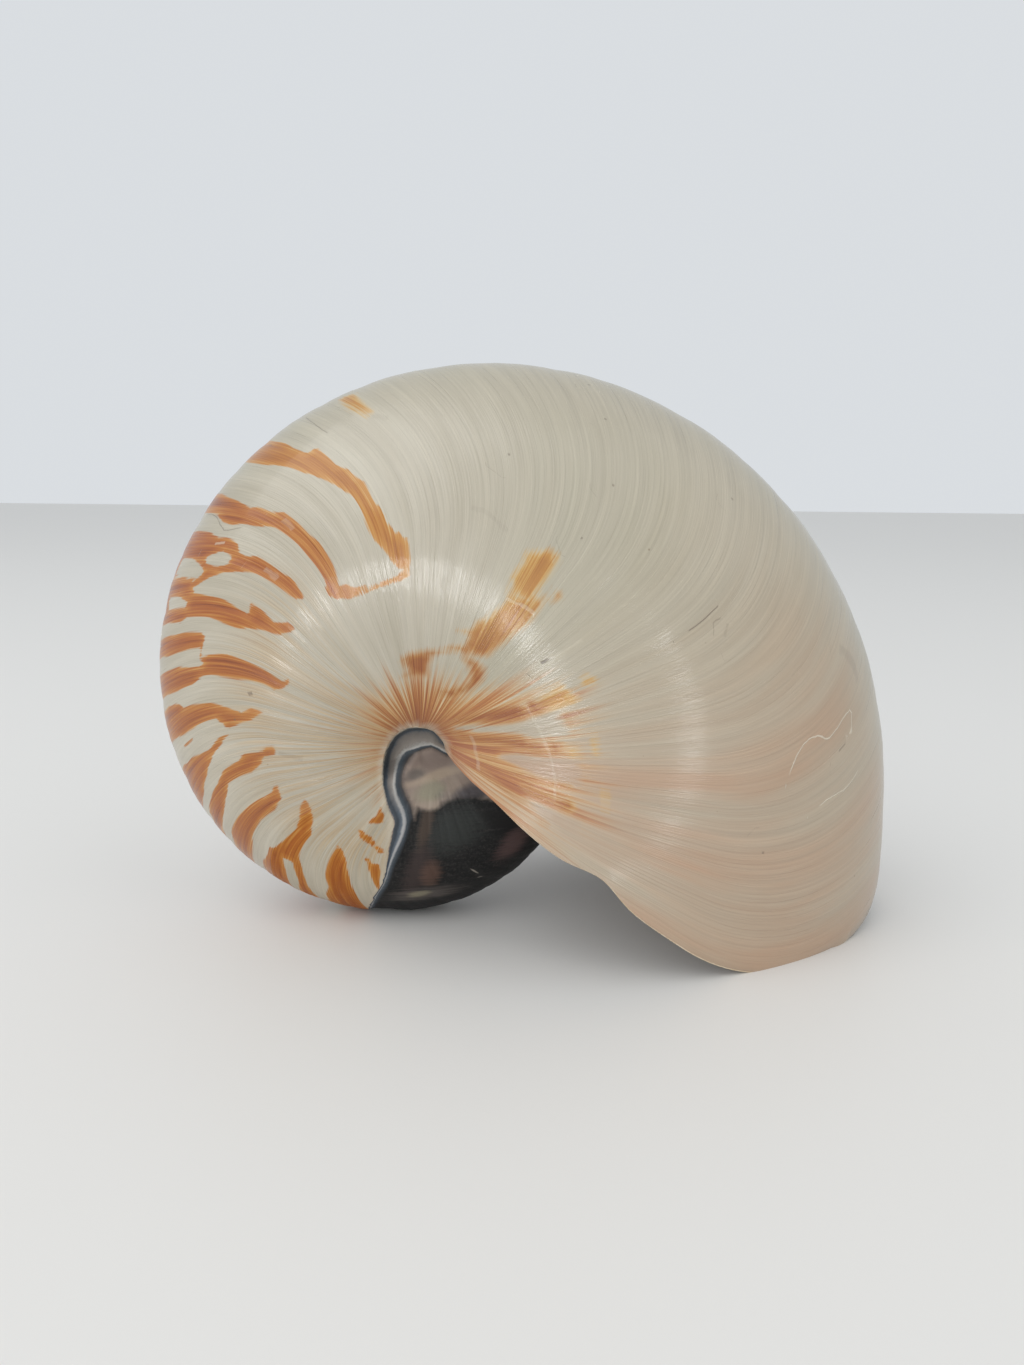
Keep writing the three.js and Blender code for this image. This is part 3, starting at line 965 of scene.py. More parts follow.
# gives the eye the satin shine of old porcelain, with stripes that fray along hair-fine lines of growth
@dataclass(frozen=True)
class PorcelainLayer(ShellMaterial):
    """The outer layer: fine prisms of lime that grew in lines, ivory and satin, with stripes in it.

    Where four numbers stand for a share, a value from the first to the second gives the third to the
    fourth. The sizes of the grain are in millimetres along and across the whorl, with its detail.
    """

    name: str = "porcelain_outer_layer"
    finish: Finish = Finish(coat=0.42, coat_roughness=0.08, specular=0.5, relief=0.00013,
                            coat_relief=0.00005)
    base: tuple = ((0.3, "#A8A08E"), (0.5, "#B0A897"), (0.72, "#B9B2A2"))
    # partly the young shell's own pink and partly a painted warm reflection of the ground below
    pink_and_warm_reflection: str = "#AA8D74"
    green: str = "#A09A85"
    tan: tuple = ((0.35, "#9F7B4F"), (0.6, "#AF9369"))
    fan: tuple = ((0.28, "#894A26"), (0.42, "#A86C37"), (0.54, "#BA8E57"), (0.68, "#C9AE85"),
                  (0.8, "#D0C3A8"))
    rim: str = "#96593A"
    pale_rim: str = "#C3B7A3"
    stripe: tuple = ((0.25, "#7C3C10"), (0.45, "#99531A"), (0.62, "#AA6A26"), (0.78, "#BC8A4A"))
    ochre: tuple = ((0.25, "#8E5419"), (0.45, "#A56823"), (0.62, "#B37C33"), (0.78, "#C19A62"))
    blotch: tuple = ((0.28, "#743813"), (0.45, "#8F4D1F"), (0.6, "#A77339"), (0.75, "#BA9665"))
    pale_blotch: tuple = ((0.28, "#9A6327"), (0.45, "#AE7A35"), (0.6, "#BC9450"), (0.75, "#C4AC80"))
    light_mark: str = "#CFC7B4"
    dark_mark: str = "#4A3A2C"
    speck: str = "#6B563E"
    grain_sizes: tuple = ((0.5773, 28.667, 3.0), (1.7659, 39.091, 3.0), (5.0033, 53.75, 2.0),
                          (12.508, 53.75, 3.0))
    grain_roughness: float = 0.6
    strokes: tuple = (0.8, 0.7, -0.25)
    tufts: tuple = (0.9, 0.6, -0.25)
    tint_bands: tuple = (0.35, 0.65, 0.35, 1.0)
    tan_lines: tuple = (0.38, 0.6)
    fine_shade: tuple = (0.92, 1.07)
    line_shade: tuple = (0.95, 1.05)
    fan_thinned: float = -1.2
    fan_edge: tuple = (-0.55, 0.18)
    fan_start: float = 8.0
    fan_hue: tuple = (0.45, 0.9, -0.22, -0.05)
    rim_at: tuple = (11.0, 5.0)
    rim_share: float = 0.5
    blotch_fray: tuple = (3.2, 0.8)
    stripe_fray: tuple = (1.4, 0.15)
    edge_tone: tuple = (-1.6, 0.1, -0.05, 0.16)
    speck_cell: float = 7.143
    speck_size: tuple = (0.62, 1.0, 0.0, 0.05)
    speck_edge: tuple = (-0.008, 0.012)
    speck_share: float = 0.55
    mark_wander: float = 2.6
    mark_wander_size: float = 2.381
    mark_edge: tuple = (1.4, 0.5)
    mark_ends: tuple = (1.06, 0.9)
    roughness: tuple = (0.26, 0.42)
    line_relief: float = 0.8
    mark_relief: float = 0.9

    def grain(self, tree: Tree, growth: Socket) -> Grain:
        """Builds the noises that follow the lines of growth.

        Args:
            tree: The node tree.
            growth: Growth angle and place across.

        Returns:
            The noises.
        """
        noises = []
        for along, across, detail in self.grain_sizes:
            place = add(tree, "ShaderNodeMapping", {"Scale": growth_scale(along, across)}, {0: growth})
            settings = {"Scale": 1.0, "Detail": detail, "Roughness": self.grain_roughness}
            noises.append(add(tree, NOISE, settings, {"Vector": place}))
        fine, lines, strands, bands = noises
        blends = []
        for source, (share, line_share, shift) in ((fine, self.strokes), (strands, self.tufts)):
            blend = add(tree, MATH, {**TIMES_PLUS, 1: share, 2: shift}, {0: source})
            blends.append(add(tree, MATH, {**TIMES_PLUS, 1: line_share}, {0: lines, 2: blend}))
        return Grain(fine, lines, bands, *blends)

    def ground(self, tree: Tree, grain: Grain, band_share: Socket, tints: tuple[Socket, ...],
               streaks: Socket) -> Socket:
        """Builds the colour between the markings.

        Args:
            tree: The node tree.
            grain: The noises.
            band_share: How far the broad bands let a tint through.
            tints: Strengths of the green and of the pink, which is partly a painted warm reflection of the
                ground below.
            streaks: Strength of the tan streaks.

        Returns:
            The colour.
        """
        colour = ramp(tree, grain.bands, self.base)
        # grey green on the keel, and pink towards the lip that is partly a painted warm reflection of the
        # ground below, both in bands
        for weight, code in zip(tints, (self.green, self.pink_and_warm_reflection)):
            share = add(tree, MATH, TIMES, {0: weight, 1: band_share})
            colour = add(tree, MIX, {**COLOURS, 7: linear(code)}, {0: share, 6: colour}, 2)
        # tan streaks
        share = add(tree, MAP_RANGE, {**EASED, **ranges(*self.tan_lines)}, {0: grain.lines})
        share = add(tree, MATH, TIMES, {0: share, 1: streaks})
        tan = ramp(tree, grain.fine, self.tan)
        colour = add(tree, MIX, COLOURS, {0: share, 6: colour, 7: tan}, 2)
        # lines of growth, a little lighter and darker
        for noise, shades in ((grain.fine, self.fine_shade), (grain.lines, self.line_shade)):
            shade = add(tree, MAP_RANGE, ranges(*NOISE_SPAN, *shades), {0: noise})
            colour = add(tree, MIX, {**COLOURS, "blend_type": "MULTIPLY", 0: 1.0},
                         {6: colour, 7: shade}, 2)
        return colour

    def fan_over(self, tree: Tree, grain: Grain, fan: Socket, away: Socket, under: Socket) -> Socket:
        """Lays the fan of rust streaks and the rust rim round the umbilicus over a colour.

        Args:
            tree: The node tree.
            grain: The noises.
            fan: Strength of the fan.
            away: Distance from the axis in millimetres.
            under: The colour below.

        Returns:
            The colour with the fan.
        """
        # where the fan shows, frayed into tufts
        reach = add(tree, MATH, {**TIMES_PLUS, 1: self.fan_thinned}, {0: grain.tufts, 2: fan})
        share = add(tree, MAP_RANGE, {**EASED, **ranges(*self.fan_edge)}, {0: reach})
        within = add(tree, MATH, {**TIMES, 1: self.fan_start, "use_clamp": True}, {0: fan})
        share = add(tree, MATH, TIMES, {0: share, 1: within})
        # its colour, darkest where the fan is strongest
        of_fine, of_tufts, of_fan, shift = self.fan_hue
        hue = add(tree, MATH, {**TIMES_PLUS, 1: of_fine, 2: shift}, {0: grain.fine})
        hue = add(tree, MATH, {**TIMES_PLUS, 1: of_tufts}, {0: grain.tufts, 2: hue})
        hue = add(tree, MATH, {**TIMES_PLUS, 1: of_fan}, {0: fan, 2: hue})
        streaked = ramp(tree, hue, self.fan)
        colour = add(tree, MIX, COLOURS, {0: share, 6: under, 7: streaked}, 2)
        # the rust rim
        share = add(tree, MAP_RANGE, {**EASED, **ranges(*self.rim_at), 4: self.rim_share}, {0: away})
        return add(tree, MIX, {**COLOURS, 7: linear(self.rim)}, {0: share, 6: colour}, 2)

    def marking_over(self, tree: Tree, strokes: Socket, gap: Socket, fray: tuple, plain: tuple,
                     late: tuple, weight: Socket, under: Socket) -> Socket:
        """Lays the stripes or the blotches over a colour.

        Args:
            tree: The node tree.
            strokes: Noise that frays the edges and streaks the colour.
            gap: Distance to the outlines in millimetres, negative inside.
            fray: How far the edge is frayed and half the width of its blur, in millimetres.
            plain: Stops of the common colour.
            late: Stops of the colour that replaces it.
            weight: How far it does.
            under: The colour below.

        Returns:
            The colour with the markings.
        """
        jag, blur = fray
        offset = add(tree, MATH, {**TIMES_PLUS, 1: jag, 2: -jag / 2.0}, {0: strokes})
        frayed = add(tree, MATH, PLUS, {0: gap, 1: offset})
        share = add(tree, MAP_RANGE, ranges(blur, -blur), {0: frayed})
        # paler towards the edge
        edge = add(tree, MAP_RANGE, ranges(*self.edge_tone), {0: gap})
        tone = add(tree, MATH, PLUS, {0: strokes, 1: edge})
        painted = add(tree, MIX, COLOURS,
                      {0: weight, 6: ramp(tree, tone, plain), 7: ramp(tree, tone, late)}, 2)
        return add(tree, MIX, COLOURS, {0: share, 6: under, 7: painted}, 2)

    def specks_over(self, tree: Tree, place: Socket, under: Socket) -> Socket:
        """Lays the few dark specks over a colour, one in about every third cell.

        Args:
            tree: The node tree.
            place: Object coordinates.
            under: The colour below.

        Returns:
            The colour with the specks.
        """
        cells = add(tree, "ShaderNodeTexVoronoi", {"Scale": object_scale(self.speck_cell)},
                    {"Vector": place})
        kept = add(tree, "ShaderNodeSeparateColor", links={0: cells.node.outputs["Color"]})
        size = add(tree, MAP_RANGE, ranges(*self.speck_size), {0: kept})
        spot = add(tree, MATH, {"operation": "SUBTRACT"}, {0: size, 1: cells})
        share = add(tree, MAP_RANGE, {**ranges(*self.speck_edge), 4: self.speck_share}, {0: spot})
        return add(tree, MIX, {**COLOURS, 7: linear(self.speck)}, {0: share, 6: under}, 2)

    def fissures_over(self, tree: Tree, place: Socket, under: Socket) -> tuple[Socket, Socket]:
        """Lays cracks, scratches and dots over a colour.

        Args:
            tree: The node tree.
            place: Object coordinates.
            under: The colour below.

        Returns:
            The colour with the marks, and their shade, which is relief too.
        """
        mark = add(tree, "ShaderNodeAttribute", {"attribute_name": "fissure"}, out="Vector")
        side, along, shade = add(tree, "ShaderNodeSeparateXYZ", links={0: mark}).node.outputs
        # an uneven line instead of a ruled one
        settings = {"Scale": object_scale(self.mark_wander_size), "Detail": 2.0}
        wander = add(tree, NOISE, settings, {"Vector": place})
        half = self.mark_wander / 2.0
        wander = add(tree, MATH, {**TIMES_PLUS, 1: self.mark_wander, 2: -half}, {0: wander})
        side = add(tree, MATH, PLUS, {0: wander, 1: side})
        # full in the middle of its width and length
        shares = []
        for way, ends in ((side, self.mark_edge), (along, self.mark_ends)):
            way = add(tree, MATH, {"operation": "ABSOLUTE"}, {0: way})
            shares.append(add(tree, MAP_RANGE, {**EASED, **ranges(*ends)}, {0: way}))
        share = add(tree, MATH, TIMES, {0: shares[0], 1: shares[1]})
        shade = add(tree, MATH, TIMES, {0: share, 1: shade})
        colour = under
        for sign, code in ((1.0, self.light_mark), (-1.0, self.dark_mark)):
            share = add(tree, MATH, {**TIMES, 1: sign, "use_clamp": True}, {0: shade})
            colour = add(tree, MIX, {**COLOURS, 7: linear(code)}, {0: share, 6: colour}, 2)
        return colour, shade

    def surface(self, tree: Tree) -> Surface:
        """Builds the outer layer's colour, roughness and relief.

        Args:
            tree: The node tree.

        Returns:
            The three sockets.
        """
        vectors = [add(tree, "ShaderNodeAttribute", {"attribute_name": name}, out="Vector")
                   for name in ("growth", "marking_gap", "tint", "wear")]
        growth = vectors[0]
        (stripe_gap, blotch_gap, away), (fan, pink_and_warm_reflection, green), (ochre, streaks, pale) = (
            add(tree, "ShaderNodeSeparateXYZ", links={0: vector}).node.outputs for vector in vectors[1:])
        grain = self.grain(tree, growth)
        band_share = add(tree, MAP_RANGE, ranges(*self.tint_bands), {0: grain.bands})
        colour = self.ground(tree, grain, band_share, (green, pink_and_warm_reflection), streaks)
        colour = self.fan_over(tree, grain, fan, away, colour)
        # the pale rim along the border of the hollow
        rim = add(tree, "ShaderNodeSeparateXYZ", links={0: growth}, out="Z")
        share = add(tree, MATH, TIMES, {0: rim, 1: band_share})
        colour = add(tree, MIX, {**COLOURS, 7: linear(self.pale_rim)}, {0: share, 6: colour}, 2)
        colour = self.marking_over(tree, grain.strokes, blotch_gap, self.blotch_fray, self.blotch,
                                   self.pale_blotch, pale, colour)
        colour = self.marking_over(tree, grain.strokes, stripe_gap, self.stripe_fray, self.stripe,
                                   self.ochre, ochre, colour)
        place = add(tree, "ShaderNodeTexCoord", out="Object")
        colour = self.specks_over(tree, place, colour)
        colour, shade = self.fissures_over(tree, place, colour)
        roughness = add(tree, MAP_RANGE, ranges(*NOISE_SPAN, *self.roughness), {0: grain.fine})
        height = add(tree, MATH, {**TIMES_PLUS, 1: self.line_relief}, {0: grain.lines, 2: grain.fine})
        height = add(tree, MATH, {**TIMES_PLUS, 1: self.mark_relief}, {0: shade, 2: height})
        return Surface(colour, roughness, height)


@dataclass(frozen=True)
class StainAndPaintedLight:
    """A soft-edged patch in the plane of the coil, in millimetres beside the axis; most are stains, and
    some are painted reflections and painted shade.
    """

    x: float
    z: float
    length: float
    width: float
    tilt: float
    code: str
    weight: float


# gives the eye a dull near-black skin with brown stains and painted shade under the lip, slate bands with a
# pale ridge between them, and a floor with painted reflections and painted shade
@dataclass(frozen=True)
class FilmAndBands(ShellMaterial):
    """The black film on the older coil, with the slate bands, the pale ridge and the hollow's floor.

    Sizes of its patterns are in millimetres. The stops of bands and tail run over 2.5 bands.
    """

    name: str = "black_film_and_bands"
    finish: Finish = Finish(coat=0.06, coat_roughness=0.25, specular=0.22, relief=0.00008)
    outer: PorcelainLayer = PorcelainLayer()
    bands: tuple = (
        (0.0, "#CDC1AB"), (0.03, "#9A9488"), (0.06, "#3D454C"), (0.14, "#4A5158"), (0.2, "#726D68"),
        (0.33, "#8B837B"), (0.385, "#B0ADA7"), (0.42, "#A3A19D"), (0.49, "#4C5359"), (0.62, "#40464B"),
        (0.8, "#4A4441"))
    tail: tuple = (
        (0.0, "#B9A594"), (0.045, "#54595F"), (0.15, "#3A4149"), (0.28, "#59616A"), (0.35, "#A09F9E"),
        (0.42, "#98989A"), (0.49, "#515960"), (0.6, "#3A4047"), (0.8, "#2F2C2C"))
    band_stops: float = 0.4
    band_wander: tuple = (0.25, 0.24, -0.245)
    tail_below: tuple = (37.0, 29.0)
    floor: tuple = ((0.3, "#85766C"), (0.5, "#928277"), (0.68, "#9D8E80"))
    floor_from: tuple = (1.8, 2.25)
    # the black film's own dark colour, kept darker still as painted shade under the lip
    film: tuple = ((0.38, "#0A0A0B"), (0.5, "#161616"), (0.64, "#2E2B2A"))
    film_fray: float = 4.0
    film_edge: tuple = (3.0, 1.1)
    film_from: tuple = (1.4, 1.9)
    pearl: str = "#CFC6C0"
    outer_until: tuple = (-0.01, 0.04)
    grain_size: float = 0.625
    cloud_size: float = 5.882
    striae_size: tuple = (8.333, 8.333, 0.38462)
    striae_share: float = 0.25
    stain_and_light_fray: float = 1.2
    stain_and_light_edge: tuple = (1.85, 0.95)
    roughness: tuple = (0.4, 0.6)
    floor_stains_and_painted_light: tuple = (
        # painted shade at the top of the floor, where it recedes under the ridge
        StainAndPaintedLight(1.5, -4.6, 6.0, 2.0, 12.0, "#7A6B63", 0.7),
        # a painted reflection: a thin level streak of light
        StainAndPaintedLight(1.9, -8.6, 7.5, 1.3, 14.0, "#AC9A86", 0.8),
        StainAndPaintedLight(-2.8, -8.0, 2.6, 1.5, 14.0, "#5D5854", 0.7),
        # a painted reflection: the grey green patch of light above the film
        StainAndPaintedLight(0.4, -12.2, 4.2, 2.8, 18.0, "#8F8B76", 0.75),
        StainAndPaintedLight(9.4, -12.8, 7.5, 2.2, 6.0, "#4C494D", 0.9))
    film_stains_and_painted_shade: tuple = (
        StainAndPaintedLight(5.5, -21.0, 9.0, 6.0, 30.0, "#333634", 0.7),
        # painted shade: the near-black patch under the lip
        StainAndPaintedLight(18.0, -20.5, 9.0, 3.5, -40.0, "#0F0D0D", 0.8),
        StainAndPaintedLight(-0.7, -20.0, 7.0, 1.7, 78.0, "#4A3D34", 0.8),
        StainAndPaintedLight(-2.6, -31.0, 8.5, 3.2, 72.0, "#3B302E", 0.8),
        StainAndPaintedLight(0.4, -32.0, 4.0, 2.6, 75.0, "#5E463B", 0.65),
        StainAndPaintedLight(19.3, -26.0, 6.0, 3.0, 50.0, "#5A4543", 0.65),
        StainAndPaintedLight(-1.0, -38.0, 9.0, 2.2, 7.0, "#57504C", 0.75),
        StainAndPaintedLight(-2.4, -38.0, 3.0, 0.9, 10.0, "#857E69", 0.7),
        StainAndPaintedLight(10.4, -32.3, 1.4, 0.25, -42.0, "#8D867C", 0.8),
        StainAndPaintedLight(11.7, -34.4, 0.9, 0.22, 8.0, "#7A746C", 0.7))

    def stain_and_painted_light(self, tree: Tree, place: Socket, cloud: Socket, under: Socket, stain_and_painted_light: StainAndPaintedLight) -> Socket:
        """Lays a patch over a colour; the patches are stains, painted reflections and painted shade.

        Args:
            tree: The node tree.
            place: Object coordinates.
            cloud: Noise that makes its edge uneven.
            under: The colour below it.
            stain_and_painted_light: The patch.

        Returns:
            The colour with the stain.
        """
        settings = {
            "vector_type": "TEXTURE",
            "Location": ((AXIS_X + stain_and_painted_light.x) * METRES, 0.0, (AXIS_Z + stain_and_painted_light.z) * METRES),
            "Rotation": (0.0, -math.radians(stain_and_painted_light.tilt), 0.0),
            "Scale": (stain_and_painted_light.length * METRES, 1.0, stain_and_painted_light.width * METRES)}
        local = add(tree, "ShaderNodeMapping", settings, {0: place})
        away = add(tree, "ShaderNodeVectorMath", {"operation": "LENGTH"}, {0: local}, "Value")
        away = add(tree, MATH, {**TIMES_PLUS, 1: self.stain_and_light_fray}, {0: cloud, 2: away})
        share = add(tree, MAP_RANGE, {**EASED, **ranges(*self.stain_and_light_edge), 4: stain_and_painted_light.weight}, {0: away})
        return add(tree, MIX, {**COLOURS, 7: linear(stain_and_painted_light.code)}, {0: share, 6: under}, 2)

    def hollow(self, tree: Tree, place: Socket, cloud: Socket, band: Socket) -> Socket:
        """Builds the colour of the bands and of the floor between them.

        Args:
            tree: The node tree.
            place: Object coordinates.
            cloud: The soft noise.
            band: Place across the bands.

        Returns:
            The colour.
        """
        # the bands, which are darker on the tail below the hollow
        height = add(tree, "ShaderNodeSeparateXYZ", links={0: place}, out="Z")
        scaled = add(tree, MATH, {**TIMES, 1: self.band_stops}, {0: band})
        levels = (level * METRES for level in self.tail_below)
        share = add(tree, MAP_RANGE, ranges(*levels), {0: height})
        bands = add(tree, MIX, COLOURS,
                    {0: share, 6: ramp(tree, scaled, self.bands), 7: ramp(tree, scaled, self.tail)}, 2)
        # the stained floor, which also carries painted reflections and painted shade as patches
        floor = ramp(tree, cloud, self.floor)
        for stain_and_painted_light in self.floor_stains_and_painted_light:
            floor = self.stain_and_painted_light(tree, place, cloud, floor, stain_and_painted_light)
        share = add(tree, MAP_RANGE, {**EASED, **ranges(*self.floor_from)}, {0: band})
        return add(tree, MIX, COLOURS, {0: share, 6: bands, 7: floor}, 2)

    def surface(self, tree: Tree) -> Surface:
        """Builds the coil's colour, roughness and relief.

        Args:
            tree: The node tree.

        Returns:
            The three sockets.
        """
        outer = self.outer.surface(tree)
        zone = add(tree, "ShaderNodeAttribute", {"attribute_name": "zone"}, out="Vector")
        band, film_gap, pearl = add(tree, "ShaderNodeSeparateXYZ", links={0: zone}).node.outputs
        place = add(tree, "ShaderNodeTexCoord", out="Object")
        # fine grain, soft clouds and thin level striae
        grain = add(tree, NOISE,
                    {"Scale": object_scale(self.grain_size), "Detail": 3.0, "Roughness": 0.75}, {0: place})
        cloud = add(tree, NOISE, {"Scale": object_scale(self.cloud_size), "Detail": 3.0}, {0: place})
        scale = tuple(object_scale(size) for size in self.striae_size)
        striae = add(tree, "ShaderNodeMapping", {"Scale": scale}, {0: place})
        striae = add(tree, NOISE, {"Scale": 1.0, "Detail": 2.0}, {0: striae})
        # the bands wander a little
        of_cloud, of_grain, shift = self.band_wander
        wander = add(tree, MATH, {**TIMES_PLUS, 1: of_cloud, 2: shift}, {0: cloud})
        wander = add(tree, MATH, {**TIMES_PLUS, 1: of_grain}, {0: grain, 2: wander})
        band = add(tree, MATH, PLUS, {0: band, 1: wander})
        under = self.hollow(tree, place, cloud, band)
        # the film, from the inner bands on and below its own edge; its tone and one of its patches hold
        # painted shade under the lip
        frayed = add(tree, MATH, {**TIMES_PLUS, 1: self.film_fray}, {0: cloud, 2: film_gap})
        shares = []
        for way, ends in ((frayed, self.film_edge), (band, self.film_from)):
            shares.append(add(tree, MAP_RANGE, {**EASED, **ranges(*ends)}, {0: way}))
        share = add(tree, MATH, TIMES, {0: shares[0], 1: shares[1]})
        tone = add(tree, MIX, {"data_type": "FLOAT", 0: self.striae_share}, {2: grain, 3: striae})
        film = ramp(tree, tone, self.film)
        for stain_and_painted_light in self.film_stains_and_painted_shade:
            film = self.stain_and_painted_light(tree, place, striae, film, stain_and_painted_light)
        under = add(tree, MIX, COLOURS, {0: share, 6: under, 7: film}, 2)
        # the worn part inside the mouth, and the outer layer up to the border
        under = add(tree, MIX, {**COLOURS, 7: linear(self.pearl)}, {0: pearl, 6: under}, 2)
        share = add(tree, MAP_RANGE, ranges(*self.outer_until), {0: band})
        colour = add(tree, MIX, COLOURS, {0: share, 6: outer.colour, 7: under}, 2)
        roughness = add(tree, MAP_RANGE, ranges(*NOISE_SPAN, *self.roughness), {0: grain})
        relief = add(tree, MIX, {"data_type": "FLOAT"}, {0: share, 2: outer.height, 3: tone})
        return Surface(colour, roughness, relief)


# gives the eye a smooth pearly glow with soft grey and pink clouds inside the mouth
@dataclass(frozen=True)
class MotherOfPearl(ShellMaterial):
    """The inner layer: nacre, smooth and pearly, with clouds that follow growth."""

    name: str = "mother_of_pearl"
    finish: Finish = Finish(coat=0.6, coat_roughness=0.08, specular=0.5, relief=0.00006)
    clouds: tuple = ((0.3, "#CFC9C6"), (0.5, "#DAD2CC"), (0.7, "#D8C6C4"))
    cloud_size: tuple = (3.002, 71.667)
    roughness: tuple = (0.18, 0.3)

    def surface(self, tree: Tree) -> Surface:
        """Builds the nacre's colour, roughness and relief.

        Args:
            tree: The node tree.

        Returns:
            The three sockets.
        """
        growth = add(tree, "ShaderNodeAttribute", {"attribute_name": "growth"}, out="Vector")
        place = add(tree, "ShaderNodeMapping", {"Scale": growth_scale(*self.cloud_size)}, {0: growth})
        lines = add(tree, NOISE, {"Scale": 1.0, "Detail": 4.0}, {"Vector": place})
        roughness = add(tree, MAP_RANGE, ranges(*NOISE_SPAN, *self.roughness), {0: lines})
        return Surface(ramp(tree, lines, self.clouds), roughness, lines)


# gives the eye the bare cream edge of a thin wall, a little chalky against the gloss beside it
@dataclass(frozen=True)
class BrokenEdge(ShellMaterial):
    """The edge of the lip: the thin wall seen end on, cream and slightly chalky."""

    name: str = "edge_of_the_lip"
    finish: Finish = Finish(coat=0.1, coat_roughness=0.3, specular=0.5, relief=0.00005)
    tones: tuple = ((0.3, "#C3AC89"), (0.5, "#D3C0A0"), (0.7, "#DED0B6"))
    grain_size: float = 1.4286
    roughness: tuple = (0.4, 0.55)

    def surface(self, tree: Tree) -> Surface:
        """Builds the edge's colour, roughness and relief.

        Args:
            tree: The node tree.

        Returns:
            The three sockets.
        """
        place = add(tree, "ShaderNodeTexCoord", out="Object")
        grain = add(tree, NOISE, {"Scale": object_scale(self.grain_size), "Detail": 3.0}, {0: place})
        roughness = add(tree, MAP_RANGE, ranges(*NOISE_SPAN, *self.roughness), {0: grain})
        return Surface(ramp(tree, grain, self.tones), roughness, grain)


class Operation(IntEnum):
    """How one closed mesh is combined with another."""

    UNION = 0
    DIFFERENCE = 1


def make_object(name: str, bm: BMesh, materials: list[bpy.types.Material]) -> Object:
    """Turns a finished mesh into an object of the scene.

    Args:
        name: Name of the object.
        bm: The mesh, which is freed.
        materials: Its material slots.

    Returns:
        The object, at the origin.
    """
    mesh = bpy.data.meshes.new(name)
    bm.to_mesh(mesh)
    bm.free()
    for material in materials:
        mesh.materials.append(material)
    made = bpy.data.objects.new(name, mesh)
    bpy.context.scene.collection.objects.link(made)
    return made


def combine(target: Object, tool: Object, operation: Operation) -> None:
    """Adds a closed mesh to another or takes it out, and removes the tool.

    Args:
        target: The object that changes.
        tool: The object that is added or taken out.
        operation: Which of the two.
    """
    modifier = target.modifiers.new("combine", "BOOLEAN")
    modifier.solver = "MANIFOLD"
    modifier.operation = operation.name
    modifier.object = tool
    graph = bpy.context.evaluated_depsgraph_get()
    mesh = bpy.data.meshes.new_from_object(target.evaluated_get(graph))
    log.info("%s %s %s: %d faces", target.name, operation.name, tool.name, len(mesh.polygons))
    target.modifiers.clear()
    target.data = mesh
    bpy.data.objects.remove(tool)


